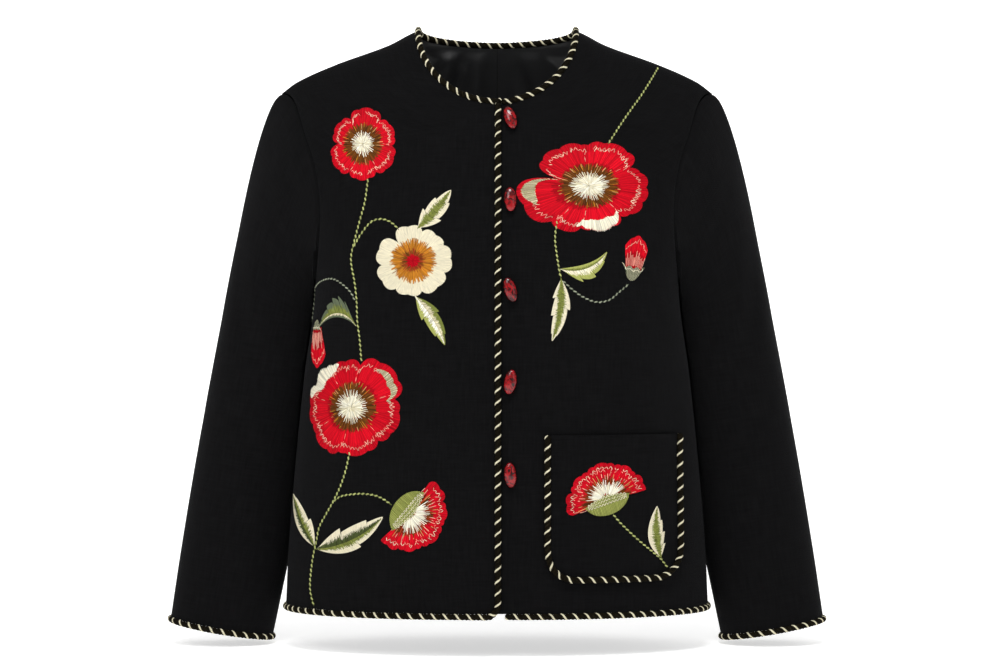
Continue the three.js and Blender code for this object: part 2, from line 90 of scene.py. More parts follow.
BUTTON_ACROSS, BUTTON_TALL, BUTTON_DEEP = 13.5, 26.5, 8.5
# height, and the degrees by which its top leans to the wearer's right
BUTTON_ROWS = ((-97, 17), (-177, 2), (-264, 17), (-352, -9), (-441, 5))

# height, half-width, depth before and behind the side seam, squareness of the oval
BODY_SECTIONS = np.array((
    (-574, 210.5, 116, 114, 2.2),
    (-520, 208, 116, 111, 2.25),
    (-440, 201.5, 115, 107, 2.3),
    (-350, 192.5, 113, 106, 2.4),
    (-255, 181, 109, 108, 2.65),
    (-200, 193, 103, 107, 2.5),
    (-140, 213, 93, 102, 2.3),
    (-107, 221, 86, 98, 2.3),
    (-65.5, 216, 78, 94, 2.3),
    (30, 200, 66, 90, 2.3),
))
SHOULDER_LINE = np.array(((0, 20), (81, -3), (109, -17), (161, -36), (199, -53), (216, -65.5)))
# step down the arm, centre x, y, z, half-width, half-depth, slant in degrees
SLEEVE_SECTIONS = np.array((
    (0, 222.5, 34, -300, 57, 52, 9),
    (1, 237.5, 38, -380, 57.5, 50, 9),
    (2, 252.5, 32, -460, 56, 46, 9),
    (3, 266.5, 22, -540, 54, 42, 9.5),
    (3.72, 276, 12, -597.5, 52, 39, 10),
))
# the sleeve head's slopes at the underarm and at the shoulder's tip
HEAD_LEAVES_OUT, HEAD_LEAVES_UP, HEAD_ARRIVES = (6, 64), (-20, -40), (50, 230)
ARM_DIRECTION = np.array((0.17, 0, -1))
HEAD_UNCREASED, CUFF_UNCREASED = (4, 40), (-45, -10)
SLEEVE_CLEARANCE = 2.0
SLEEVE_UV_RADIUS = 50.0
SLEEVE_FREE_FROM, SLEEVE_FREE_TO = UNDERARM_Z + 35, UNDERARM_Z + 85
PRESSED_IN, HEAD_PRESSED_IN, HEAD_PRESSED_OVER = 0.7, 0.6, 5.0

# ---- Grid fineness -----------------------------------------------------------------------
FINER = 4
ROWS_BELOW_UNDERARM = 9 * FINER
ROWS_ABOVE = 14 * FINER
ROWS_TO_NECK = {FRONT: 7 * FINER, BACK: 9 * FINER}
LINING_ROWS_FROM = 12 * FINER
PANEL_COLUMNS = np.sin(np.linspace(0, np.pi / 2, 57)) ** 2 * 0.35 + np.linspace(0, 1, 57) * 0.65
LINING_COLUMNS = 45
SLEEVE_HEAD_STEPS = np.linspace(0, 1, 31)[:-1]
SLEEVE_RINGS_BELOW = 52
PRESSED_CELLS = 3


# ---- Small helpers -----------------------------------------------------------------------
def smoothstep(value, low, high):
    t = np.clip((value - low) / (high - low), 0, 1)
    return t * t * (3 - 2 * t)


def mix(a, b, share):
    return a + (b - a) * share


def signed_power(value, power):
    return np.sign(value) * np.abs(value) ** power


def unit(vectors):
    return vectors / np.maximum(np.linalg.norm(vectors, axis=-1, keepdims=True), 1e-9)


def along(table, column, at):
    """A table's column at values of its first, on a smooth cubic through its rows."""
    keys, values = table[:, 0], table[:, column]
    last = len(keys) - 1
    at = np.clip(at, keys[0], keys[-1])
    n = np.clip(np.searchsorted(keys, at, side="right") - 1, 0, last - 1)
    before = np.maximum(np.arange(last + 1) - 1, 0)
    after = np.minimum(np.arange(last + 1) + 1, last)
    slope = (values[after] - values[before]) / (keys[after] - keys[before])
    span = keys[n + 1] - keys[n]
    t = (at - keys[n]) / span
    ends = (1 + 2 * t) * (1 - t) ** 2 * values[n] + t * t * (3 - 2 * t) * values[n + 1]
    slopes = t * (1 - t) ** 2 * slope[n] - t * t * (1 - t) * slope[n + 1]
    return ends + slopes * span


# ---- The body's surface ------------------------------------------------------------------
def half_width(z):
    return along(BODY_SECTIONS, 1, z)


def squareness(z):
    return along(BODY_SECTIONS, 4, z)


def section_depth(face, z):
    return along(BODY_SECTIONS, 2 if face == FRONT else 3, z)


def shoulder_height(x):
    return along(SHOULDER_LINE, 1, np.abs(x))


def shoulder_roll(x, z):
    rise = np.clip((z - ROLL_START_Z) / (shoulder_height(x) - ROLL_START_Z), 0, 1)
    return (1 - rise ** ROLL_ROUNDNESS) ** (1 / ROLL_ROUNDNESS)


def body_depth(face, x, z):
    square = squareness(z)
    across = np.minimum(np.abs(x) / half_width(z), 1)
    return section_depth(face, z) * (1 - across ** square) ** (1 / square) * shoulder_roll(x, z)


def body_slopes(face, x, z, step=0.05):
    slope_x = (body_depth(face, x + step, z) - body_depth(face, x - step, z)) / (2 * step)
    slope_z = (body_depth(face, x, z + step) - body_depth(face, x, z - step)) / (2 * step)
    return slope_x, slope_z


def body_normal(face, x, z):
    slope_x, slope_z = body_slopes(face, x, z)
    on_seam = body_depth(face, x, z) < SEAM_GAP
    return unit(np.stack([-slope_x, np.where(on_seam, 0, face), -slope_z], axis=-1))


def body_point(face, x, z):
    return np.stack([x, face * body_depth(face, x, z), z], axis=-1)


# Soft creases: place x, z, lean from upright in degrees, half-length, half-width, height.
# The front's and back's are placed on the body, the sleeves' by the way round and down.
CREASES = {
    FRONT: (
        (-150, -300, 24, 60, 13, -1.5),
        (-128, -345, 14, 75, 15, 1.3),
        (-172, -430, 5, 85, 14, -1.2),
        (-95, -480, -5, 90, 17, 1.1),
        (-52, -500, 3, 70, 13, -1.0),
        (-150, -545, 8, 50, 14, 1.2),
        (150, -285, -28, 55, 12, -1.6),
        (132, -335, -17, 70, 15, 1.2),
        (178, -400, -6, 80, 13, -1.2),
        (42, -470, 4, 80, 14, 1.0),
        (30, -540, -4, 50, 12, -0.9),
        (-120, -60, 62, 45, 11, -0.9),
        (128, -66, -58, 42, 11, -0.9),
    ),
    BACK: (
        (0, -380, 0, 150, 22, -1.6),
        (-60, -430, 6, 120, 18, 1.5),
        (72, -410, -7, 130, 19, 1.4),
        (-135, -470, 9, 95, 17, -1.7),
        (128, -485, -6, 85, 15, -1.5),
        (-150, -270, 30, 65, 14, -1.8),
        (146, -262, -33, 60, 13, -1.7),
        (-95, -140, 38, 60, 16, 1.3),
        (104, -132, -41, 56, 15, 1.2),
        (20, -545, 5, 50, 15, 1.3),
    ),
}
SLEEVE_CREASES = {
    WEARERS_RIGHT: (
        (60, 295, 58, 48, 11, -2.3),
        (84, 322, 50, 42, 9, 1.7),
        (118, 268, 64, 46, 12, -2.0),
        (232, 306, -60, 50, 12, -2.4),
        (262, 338, -52, 40, 10, 1.6),
        (96, 430, 34, 60, 13, -1.5),
        (250, 445, -30, 64, 14, -1.6),
        (30, 150, 24, 60, 14, -1.8),
        (300, 160, -26, 56, 13, -1.7),
        (180, 235, 12, 80, 20, 1.3),
    ),
    WEARERS_LEFT: (
        (66, 305, 55, 50, 12, -2.4),
        (92, 334, 47, 40, 10, 1.6),
        (124, 277, 62, 44, 12, -1.8),
        (226, 298, -57, 52, 12, -2.2),
        (256, 330, -50, 44, 10, 1.8),
        (104, 442, 30, 56, 13, -1.6),
        (244, 430, -33, 60, 13, -1.4),
        (26, 158, 22, 58, 14, -1.7),
        (304, 150, -28, 60, 13, -1.9),
        (176, 228, 9, 84, 20, 1.4),
    ),
}
LINING_CREASES = (
    (-40, -60, 12, 45, 8, 3.2),
    (-22, -75, 4, 44, 6, -2.6),
    (-58, -38, 30, 30, 7, -3.0),
    (30, -50, -26, 42, 8, 3.4),
    (48, -66, -34, 36, 7, -3.0),
    (14, -80, -8, 44, 7, 2.6),
    (62, -34, -44, 26, 6, 2.8),
)


def crease_height(table, x, z):
    """How far soft troughs and ridges move the cloth out at places x, z."""
    total = np.zeros(np.broadcast(x, z).shape)
    deep = bpy.context.scene.jacket_sizes.crease
    for place_x, place_z, lean, length, width, height in table:
        c, s = math.cos(math.radians(lean)), math.sin(math.radians(lean))
        lengthwise = (x - place_x) * s + (z - place_z) * c
        crosswise = (x - place_x) * c - (z - place_z) * s
        total += deep * height * np.exp(-(lengthwise / length) ** 2 - (crosswise / width) ** 2)
    return total


def lap_dip(x):
    return LAP_DEPTH * (1 - smoothstep(x, LAP_FLAT_TO, LAP_ENDS_AT))


def on_front(x, z, lift=0.0):
    """Points on the fronts' outer face, moved out by lift. The left front dips at the lap."""
    x, z = np.broadcast_arrays(np.asarray(x, float), np.asarray(z, float))
    dip = np.where(x > -EDGE_OVER, lap_dip(x), 0)
    height = lift + crease_height(CREASES[FRONT], x, z) - dip
    return body_point(FRONT, x, z) + body_normal(FRONT, x, z) * np.asarray(height)[..., None]


# ---- Cloth grids -------------------------------------------------------------------------
def armhole_point(face, turn):
    """x and z of the armhole's edge at a turn from the underarm (0) to the tip (pi)."""
    middle = (UNDERARM_Z + SHOULDER_LINE[-1, 1]) / 2
    z = middle + (UNDERARM_Z - middle) * np.cos(turn)
    y = ARMHOLE_HALF_DEPTH * np.sin(turn) * (1 + ARMHOLE_FULLNESS * np.cos(turn))
    half, square = half_width(z), squareness(z)
    x = half
    for _ in range(12):
        reach = np.maximum(section_depth(face, z) * shoulder_roll(x, z), 1e-9)
        here = (1 - np.minimum(y / reach, 1) ** square) ** (1 / square)
        x = np.where(y < SEAM_GAP, half, (x + half * here) / 2)
    return x, z


def shoulder_bow(x):
    tip_x, tip_z = SHOULDER_LINE[-1]
    straight = mix(NECK_POINT_Z, tip_z, (x - NECK_RADIUS) / (tip_x - NECK_RADIUS))
    return np.where(x < NECK_RADIUS, 0, shoulder_height(x) - straight)


def corner_rise(distance, radius):
    inside = np.clip(radius - distance, 0, radius)
    return radius - np.sqrt(radius ** 2 - inside ** 2)


def half_panel(face, side, edge, corner=0.0):
    """Outer points and normals of a half panel, rows from hem to shoulder."""
    below = np.arange(ROWS_BELOW_UNDERARM) / ROWS_BELOW_UNDERARM
    above = np.arange(ROWS_ABOVE + 1)
    to_neck = ROWS_TO_NECK[face]
    start = math.asin(edge / NECK_RADIUS)
    turn = mix(start, np.pi / 2, np.maximum(above - to_neck, 0) / (ROWS_ABOVE - to_neck))
    neck_z = NECK_POINT_Z - NECK_DROP[face] * np.cos(turn)
    outer_x, outer_z = armhole_point(face, np.pi * above / ROWS_ABOVE)
    low_z = mix(HEM_Z, UNDERARM_Z, below)
    centre_z = mix(UNDERARM_Z, neck_z[0], above / to_neck)
    inner_x = np.where(above < to_neck, edge, NECK_RADIUS * np.sin(turn))
    inner_z = np.where(above < to_neck, centre_z, neck_z)
    first_x = np.concatenate([np.full(len(below), edge), inner_x])[:, None]
    first_z = np.concatenate([low_z, inner_z])[:, None]
    last_x = np.concatenate([half_width(low_z), outer_x])[:, None]
    last_z = np.concatenate([low_z, outer_z])[:, None]
    bow = np.concatenate([np.zeros(len(below)), (above / ROWS_ABOVE) ** 2])[:, None]
    half, square = half_width(last_z), squareness(last_z)

    def angle(x):
        return np.arcsin(np.clip(signed_power(x / half, square / 2), -1, 1))

    def spread(turned):
        return signed_power(np.sin(turned), 2 / square)

    first, last = spread(angle(first_x)), spread(angle(last_x))
    here = spread(mix(angle(first_x), angle(last_x), PANEL_COLUMNS[None, :]))
    share = np.clip((here - first) / np.where(last == first, 1, last - first), 0, 1)
    x = mix(first_x, last_x, share)
    z = mix(first_z, last_z, share) + bow * shoulder_bow(x)
    if corner:
        near_hem = np.clip(1 - (z - HEM_Z) / CORNER_FADES_OVER, 0, 1)
        z = z + near_hem * corner_rise(x - first_x, corner)
    points, normals = body_point(face, x, z), body_normal(face, x, z)
    creases = crease_height(CREASES[face], side * x, z)
    points[..., 0] *= side
    normals[..., 0] *= side
    return points, normals, creases


def lapped_under(points, normals):
    return points - normals * lap_dip(points[..., 0])[..., None]


def seam_dip(shape):
    """How far a panel turns in at its shoulder and side seams, where they are pressed."""
    rows, columns = np.indices(shape[:2])
    cells = np.minimum(shape[0] - 1 - rows, shape[1] - 1 - columns)
    return PRESSED_IN * np.clip(1 - cells / PRESSED_CELLS, 0, 1) ** 2


# ---- Sleeves -----------------------------------------------------------------------------
def sleeve_ring_point(step, angle):
    slant = np.radians(along(SLEEVE_SECTIONS, 6, step))
    out = np.cos(angle) * along(SLEEVE_SECTIONS, 4, step)
    x = along(SLEEVE_SECTIONS, 1, step) + out * np.cos(slant)
    y = along(SLEEVE_SECTIONS, 2, step) + np.sin(angle) * along(SLEEVE_SECTIONS, 5, step)
    z = along(SLEEVE_SECTIONS, 3, step) + out * np.sin(slant)
    return np.stack(np.broadcast_arrays(x, y, z), axis=-1)


def clear_of_body(points):
    x, y, z = points[..., 0], points[..., 1], points[..., 2]
    clearance = SLEEVE_CLEARANCE * (1 - smoothstep(z, SLEEVE_FREE_FROM, SLEEVE_FREE_TO))
    square = squareness(z)
    depth = np.where(y < 0, section_depth(FRONT, z), section_depth(BACK, z))
    across = np.abs(x) / (half_width(z) + clearance)
    deep = np.abs(y) / (depth + clearance)
    reach = (across ** square + deep ** square) ** (1 / square)
    inside = (reach < 1) & (z < SLEEVE_FREE_TO) & (z > HEM_Z)
    scale = np.where(inside, 1 / np.maximum(reach, 1e-6), 1)
    return points * np.stack([scale, scale, np.ones_like(scale)], axis=-1)


def sleeve_head_point(start, angle, t):
    high = (1 + np.cos(angle)) / 2
    leave = np.stack([mix(*HEAD_LEAVES_OUT, high), 0 * high, mix(*HEAD_LEAVES_UP, high)], axis=-1)
    arrive = mix(*HEAD_ARRIVES, high)[..., None] * ARM_DIRECTION
    t = t[:, None, None]
    return (
        start * (1 + 2 * t) * (1 - t) ** 2
        + leave * t * (1 - t) ** 2
        + sleeve_ring_point(0.0, angle) * t * t * (3 - 2 * t)
        - arrive * t * t * (1 - t)
    )


def armhole_ring():
    """Points, normals and angles round the armhole, from the underarm up the front."""
    i = np.arange(2 * ROWS_ABOVE)
    front = i <= ROWS_ABOVE
    turn = np.pi * np.where(front, i, 2 * ROWS_ABOVE - i) / ROWS_ABOVE
    points, normals = np.zeros((len(i), 3)), np.zeros((len(i), 3))
    for face, here in ((FRONT, front), (BACK, ~front)):
        x, z = armhole_point(face, turn[here])
        points[here], normals[here] = body_point(face, x, z), body_normal(face, x, z)
    return points, normals, np.where(front, -1, 1) * (np.pi - turn)


def ring_normals(points):
    down = np.gradient(points, axis=0)
    round_ = np.roll(points, -1, axis=1) - np.roll(points, 1, axis=1)
    return unit(np.cross(down, round_))


def sleeve_seam(ring, ring_normal, following):
    """The sleeve's first ring, turned in under the armhole's edge, and its wall's direction."""
    round_ = unit(np.roll(ring, -1, axis=0) - np.roll(ring, 1, axis=0))
    away = unit(np.cross(round_, ring_normal))
    leave = following - ring
    up, out = (leave * ring_normal).sum(-1), (leave * away).sum(-1)
    bend = np.maximum(np.arctan2(up, out), 0)[:, None]
    seam = ring - ring_normal * (CLOTH + SEAM_GAP) - away * SEAM_GAP
    return seam, ring_normal * np.cos(bend) - away * np.sin(bend)


def sleeve_grid(side):
    """Outer points and normals of a sleeve with its creases, rings from armhole to cuff."""
    ring, ring_normal, angle = armhole_ring()
    head = sleeve_head_point(ring, angle, SLEEVE_HEAD_STEPS)
    steps = np.linspace(0, SLEEVE_SECTIONS[-1, 0], SLEEVE_RINGS_BELOW + 1)
    points = np.concatenate([head, sleeve_ring_point(steps[:, None], angle[None, :])])
    points[1:] = clear_of_body(points[1:])
    lengths = np.linalg.norm(np.diff(points, axis=0), axis=-1).mean(axis=1)
    down = np.concatenate([[0], np.cumsum(lengths)])[:, None]
    degrees = np.degrees(angle)[None, :] % 360
    away_from_ends = smoothstep(down, *HEAD_UNCREASED)
    away_from_ends = away_from_ends * (1 - smoothstep(down - down[-1], *CUFF_UNCREASED))
    height = sum(
        crease_height(SLEEVE_CREASES[side], degrees + turn, down) for turn in (-360, 0, 360)
    )
    points = points + ring_normals(points) * (height * away_from_ends)[..., None]
    points[1:] = clear_of_body(points[1:])
    normals = ring_normals(points)
    points[0], normals[0] = sleeve_seam(ring, ring_normal, points[1])
    past_seam = (down - down[1]) / HEAD_PRESSED_OVER
    pressed = HEAD_PRESSED_IN * np.clip(1 - past_seam, 0, 1) * (down > 0)
    points = points - normals * pressed[..., None]
    uv = np.stack(np.broadcast_arrays(angle * SLEEVE_UV_RADIUS, -down), axis=-1)
    points[..., 0] *= side
    normals[..., 0] *= side
    return points, normals, uv


# ---- Meshes ------------------------------------------------------------------------------
SHARP_ANGLE = math.radians(50)


def grid_faces(rows, columns, closed_round=False, first=0):
    r = np.arange(rows - 1)[:, None]
    c = np.arange(columns if closed_round else columns - 1)[None, :]
    following = (c + 1) % columns
    low, high = r * columns, (r + 1) * columns
    corners = np.broadcast_arrays(low + c, low + following, high + following, high + c)
    return np.stack(corners, axis=-1).reshape(-1, 4) + first


def piece_of(name, points, faces, uv=None, colour=None, part=None):
    """A mesh object from millimetre points and quads. part numbers each face's material."""
    points, faces = np.asarray(points, float).reshape(-1, 3), np.asarray(faces)
    mesh = bpy.data.meshes.new(name)
    mesh.vertices.add(len(points))
    mesh.vertices.foreach_set("co", (points * MM).ravel())
    mesh.loops.add(faces.size)
    mesh.loops.foreach_set("vertex_index", faces.ravel())
    mesh.polygons.add(len(faces))
    mesh.polygons.foreach_set("loop_start", np.arange(len(faces)) * faces.shape[1])
    mesh.polygons.foreach_set("use_smooth", np.full(len(faces), True))
    if part is not None:
        mesh.polygons.foreach_set("material_index", np.asarray(part, int))
    if uv is not None:
        layer = mesh.uv_layers.new(name="cut")
        layer.data.foreach_set("uv", (np.asarray(uv).reshape(-1, 2)[faces.ravel()] * MM).ravel())
    if colour is not None:
        thread = mesh.attributes.new("thread_colour", "FLOAT_COLOR", "POINT")
        rgba = np.concatenate([colour, np.ones((len(colour), 1))], axis=1)
        thread.data.foreach_set("color", rgba.ravel())
    mesh.update()
    mesh.validate()
    piece = bpy.data.objects.new(name, mesh)
    bpy.context.scene.collection.objects.link(piece)
    return piece


def facing_out(points, normals, faces):
    a, b, c, d = (points[faces[:, k]] for k in range(4))
    total = (np.cross(c - a, d - b) * normals[faces[:, 0]]).sum()
    return faces[:, ::-1] if total < 0 else faces


def shell(name, grids, cloth=CLOTH, lift=0.0, closed_round=False, keep=None):
    """A thin shell of cloth through grids of (points, normals, uv): its outer face, its inner
    face and the rim between them."""
    points, normals, uvs, faces = [], [], [], []
    first = 0
    for grid_points, grid_normals, grid_uv in grids:
        rows, columns = grid_points.shape[:2]
        flat_points, flat_normals = grid_points.reshape(-1, 3), grid_normals.reshape(-1, 3)
        quads = facing_out(flat_points, flat_normals, grid_faces(rows, columns, closed_round))
        points.append(flat_points)
        normals.append(flat_normals)
        uvs.append(grid_uv.reshape(-1, 2))
        faces.append(quads + first)
        first += len(flat_points)
    points, normals = np.concatenate(points), np.concatenate(normals)
    uvs, faces = np.concatenate(uvs), np.concatenate(faces)
    points, normals, uvs, faces = welded(points, normals, uvs, faces)
    outer, inner = points + normals * lift, points + normals * (lift - cloth)
    if keep:
        outer, inner = keep(outer), keep(inner)
    edges = np.concatenate([faces[:, [k, (k + 1) % 4]] for k in range(4)])
    known = {(int(a), int(b)) for a, b in edges}
    a, b = np.array([(a, b) for a, b in known if (b, a) not in known]).T
    count = len(points)
    rim = np.stack([b, a, a + count, b + count], axis=-1)
    every = np.concatenate([faces, faces[:, ::-1] + count, rim])
    piece = piece_of(name, np.concatenate([outer, inner]), every, uv=np.concatenate([uvs, uvs]))
    piece.data.set_sharp_from_angle(angle=SHARP_ANGLE)
    return piece


def welded(points, normals, uvs, faces):
    """Corners that coincide are counted once."""
    rounded = np.round(points, 3)
    _, first, place = np.unique(rounded, axis=0, return_index=True, return_inverse=True)
    place = place.reshape(-1)
    faces = place[faces]
    flat = (faces[:, 0] == faces[:, 1]) | (faces[:, 1] == faces[:, 2])
    flat |= (faces[:, 2] == faces[:, 3]) | (faces[:, 3] == faces[:, 0])
    return points[first], normals[first], uvs[first], faces[~flat]


def before_seam(points):
    points[:, 1] = np.minimum(points[:, 1], 0)
    return points


def behind_seam(points):
    points[:, 1] = np.maximum(points[:, 1], 0)
    return points


def cut_uv(points):
    """Where a body grid's points lie on the flat cut: along the weft and up the warp."""
    across = np.linalg.norm(np.diff(points, axis=1), axis=-1)
    u = np.concatenate([np.zeros((len(points), 1)), np.cumsum(across, axis=1)], axis=1)
    up = np.linalg.norm(np.diff(points, axis=0), axis=-1)
    v = np.concatenate([np.zeros((1, points.shape[1])), np.cumsum(up, axis=0)], axis=0)
    return np.stack([u * np.sign(points[0, -1, 0]), v], axis=-1)


def dressed(face, side, edge, corner=0.0, under=False):
    """A half panel with its creases and pressed seams, as (points, normals, uv)."""
    points, normals, creases = half_panel(face, side, edge, corner=corner)
    if under:
        points = lapped_under(points, normals)
    moved = points + normals * (creases - seam_dip(points.shape))[..., None]
    return moved, normals, cut_uv(points)


# ---- Twisted cord ------------------------------------------------------------------------
CORD_SEWN_IN = 0.5  # how far the cord's plies lap over the cloth's edge
STATIONS_A_TURN = 12
CORD_RUN_STEP = 2.5
END_TAPER = 2.0
FIBRES_ROUND = 10.0  # how far the fibres' pattern runs round a strand
# strand: radius, distance of its centre from the cord's, turn, sides, material
STRANDS = (
    (1.62, 1.5, 66, 6, 0),
    (1.7, 1.5, 180, 6, 0),
    (1.62, 1.5, 294, 6, 0),
    (1.12, 2.12, 0, 7, 1),
)


def evenly(run, spacing, closed=False):
    """Resamples rows of numbers, whose first three are a place, to an even spacing."""
    if closed:
        run = np.concatenate([run, run[:1]])
    lengths = np.linalg.norm(np.diff(run[:, :3], axis=0), axis=-1)
    at = np.concatenate([[0], np.cumsum(lengths)])
    wanted = np.linspace(0, at[-1], max(int(round(at[-1] / spacing)), 2) + 1)
    return np.stack([np.interp(wanted, at, column) for column in run.T], axis=-1), wanted


def beside_edge(points, normals, proud=0.0, closed=False):
    """Centre line and outward directions of a cord sewn beside an edge."""
    run, _ = evenly(np.concatenate([points, normals], axis=1), CORD_RUN_STEP, closed)
    points, normals = run[:, :3], unit(run[:, 3:])
    if closed:
        forward = unit(np.roll(points[:-1], -1, axis=0) - np.roll(points[:-1], 1, axis=0))
        forward = np.concatenate([forward, forward[:1]])
    else:
        forward = unit(np.gradient(points, axis=0))
    beside = unit(np.cross(forward, normals))
    return points + beside * (CORD_RADIUS - CORD_SEWN_IN) + normals * proud, normals


def twisted(name, centre, outward, lead, closed=False):
    """Plies wound round a centre line, one of them thin and pale, in a right-hand twist."""
    if closed:
        centre, outward = centre[:-1], outward[:-1]
    run = np.concatenate([centre, outward], axis=1)
    run, at = evenly(run, lead / STATIONS_A_TURN, closed)
    turns = at[-1] / lead
    if closed:
        turns = round(turns)
    centre, outward = run[:, :3], unit(run[:, 3:])
    forward = unit(np.gradient(centre, axis=0))
    if closed:
        forward[0] = forward[-1] = unit(centre[1] - centre[-2])
    outward = unit(outward - forward * (outward * forward).sum(-1, keepdims=True))
    beside = np.cross(forward, outward)
    phase = at / at[-1] * turns * 2 * np.pi
    points, faces, uvs, parts = [], [], [], []
    first = 0
    for radius, orbit, turn, sides, part in STRANDS:
        wound = (phase + math.radians(turn))[:, None]
        radial = outward * np.cos(wound) + beside * np.sin(wound)
        tangent = -outward * np.sin(wound) + beside * np.cos(wound)
        pitch = math.atan2(2 * math.pi * orbit, lead)
        lengthwise = tangent * math.sin(pitch) + forward * math.cos(pitch)
        cross = np.cross(lengthwise, radial)
        around = 2 * np.pi * np.arange(sides) / sides
        c, s = np.cos(around)[None, :, None], np.sin(around)[None, :, None]
        ring = radial[:, None] * c + cross[:, None] * s
        taper = np.ones(len(at))
        if not closed:
            taper = np.clip(np.minimum(at, at[-1] - at) / END_TAPER, 0.05, 1) ** 0.5
        size = (taper * radius)[:, None, None]
        strand = (centre + radial * orbit)[:, None] + ring * size
        points.append(strand.reshape(-1, 3))
        quads = grid_faces(len(at), sides, True, first)
        faces.append(quads[:, ::-1])
        share = around / (2 * np.pi)
        uv = np.broadcast_arrays(at[:, None] / math.cos(pitch), share * FIBRES_ROUND)
        uvs.append(np.stack(uv, axis=-1).reshape(-1, 2))
        parts.append(np.full(len(quads), part))
        first += strand.shape[0] * sides
    points, faces, uvs, parts = (np.concatenate(each) for each in (points, faces, uvs, parts))
    return piece_of(name, points, faces, uv=uvs, part=parts)


# ---- Embroidery --------------------------------------------------------------------------
DICE = np.random.default_rng(11)
SEEN_FROM = 2600.0  # the drawing is laid out as seen from this far in front of the side seams
SEEN_HEIGHT = -308.0
SEEN_X = 7.0

# thread colours
RED, DEEP_RED, BRIGHT_RED = (0.50, 0.002, 0.011), (0.36, 0.002, 0.008), (0.58, 0.003, 0.013)
BROWN, UMBER, RUST = (0.15, 0.048, 0.007), (0.070, 0.022, 0.005), (0.32, 0.040, 0.012)
OCHRE, DEEP_OCHRE, TAN = (0.52, 0.20, 0.018), (0.30, 0.10, 0.012), (0.60, 0.30, 0.11)
CREAM, PALE, WHITE = (0.74, 0.68, 0.50), (0.60, 0.54, 0.36), (0.82, 0.79, 0.66)
PINK, SAND, STRAW = (0.82, 0.42, 0.32), (0.50, 0.46, 0.38), (0.55, 0.50, 0.36)
GREEN, LIGHT_GREEN, DARK_GREEN = (0.18, 0.205, 0.045), (0.38, 0.40, 0.11), (0.055, 0.070, 0.022)
GREY_GREEN, DARK_GREY_GREEN = (0.115, 0.14, 0.085), (0.05, 0.065, 0.040)


def onto_front(across, up):
    """Carries places of the flat drawing along the line of sight onto the fronts: x and z."""
    across, up = np.asarray(across, float), np.asarray(up, float)
    x, z = across, up
    for _ in range(4):
        scale = (SEEN_FROM - body_depth(FRONT, np.clip(x, -200, 200), z)) / SEEN_FROM
        x = SEEN_X + (across - SEEN_X) * scale
        z = SEEN_HEIGHT + (up - SEEN_HEIGHT) * scale
        edge = half_width(z) - 0.5
        x = np.where(z < UNDERARM_Z, np.clip(x, -edge, edge), x)
    return x, z


def walked(x, z, across, up, steps=8):
    """The places on the cloth that lie across and up from x, z, measured on the cloth."""
    x, z, across, up = (np.array(v, float) for v in np.broadcast_arrays(x, z, across, up))
    for _ in range(steps):
        slope_x, slope_z = body_slopes(FRONT, x, z, 0.5)
        x = x + across / steps / np.sqrt(1 + slope_x ** 2)
        z = z + up / steps / np.sqrt(1 + slope_z ** 2)
    return x, z


# a stitch's shape: shares of its length, how far it has risen there, shares of its width
STITCH_ALONG = np.array((0.0, 0.14, 0.5, 0.86, 1.0))
STITCH_RISE = np.array((0.0, 0.8, 1.0, 0.8, 0.0))
STITCH_ACROSS = np.array((-0.5, 0.0, 0.5))
STITCH_CREST = np.array((0.0, 0.42, 0.0))
STITCH_END_WIDTH = 0.45
STITCH_POINTS = len(STITCH_ALONG) * len(STITCH_ACROSS)
LEAST_LIFT = 0.02


class Threads:
    """Gathers stitches: each a low rounded ridge of thread from one place to another."""

    def __init__(self, x=None, z=None, turn=0.0, surface=on_front):
        self.x, self.z, self.turn, self.surface = x, z, math.radians(turn), surface
        self.starts, self.ends, self.lifts, self.widths, self.colours = [], [], [], [], []

    def add(self, starts, ends, lift, width, colour, vary=0.16):
        """Stitches between rows of (across, up), in millimetres on the cloth."""
        count = len(starts)
        shade = 1 + vary * DICE.normal(size=(count, 1))
        self.starts.append(starts)
        self.ends.append(ends)
        self.lifts.append(lift + DICE.uniform(0, 0.12, count))
        self.widths.append(np.full(count, width))
        self.colours.append(np.clip(np.asarray(colour) * shade, 0, 1))

    def mesh(self, name):
        starts, ends = np.concatenate(self.starts), np.concatenate(self.ends)
        lifts, widths = np.concatenate(self.lifts), np.concatenate(self.widths)
        colours = np.concatenate(self.colours)
        run = ends - starts
        side = unit(np.stack([-run[:, 1], run[:, 0]], axis=-1))
        t, rise = STITCH_ALONG[:, None], STITCH_RISE[:, None]
        wide = widths[:, None, None]
        taper = STITCH_END_WIDTH + (1 - STITCH_END_WIDTH) * rise
        sideways = STITCH_ACROSS * wide * taper
        flat = starts[:, None, None] + run[:, None, None] * t[..., None]
        flat = flat + side[:, None, None] * sideways[..., None]
        height = lifts[:, None, None] * rise + STITCH_CREST * wide * rise + LEAST_LIFT
        c, s = math.cos(self.turn), math.sin(self.turn)
        across, up = flat[..., 0] * c - flat[..., 1] * s, flat[..., 0] * s + flat[..., 1] * c
        x, z = (across, up) if self.x is None else walked(self.x, self.z, across, up)
        points = self.surface(x, z, height).reshape(-1, 3)
        count = len(starts)
        one = grid_faces(len(STITCH_ALONG), len(STITCH_ACROSS))
        faces = (one + STITCH_POINTS * np.arange(count)[:, None, None]).reshape(-1, 4)
        a, b, d = points[faces[0, [0, 1, 3]]]
        if np.cross(b - a, d - a)[1] > 0:
            faces = faces[:, ::-1]
        length = np.linalg.norm(run, axis=1)[:, None, None]
        uv = np.stack(np.broadcast_arrays(length * t, wide * STITCH_ACROSS), axis=-1)
        uv = uv + DICE.uniform(0, 50, (count, 1, 1, 2))
        return piece_of(name, points, faces, uv, colour=np.repeat(colours, STITCH_POINTS, axis=0))


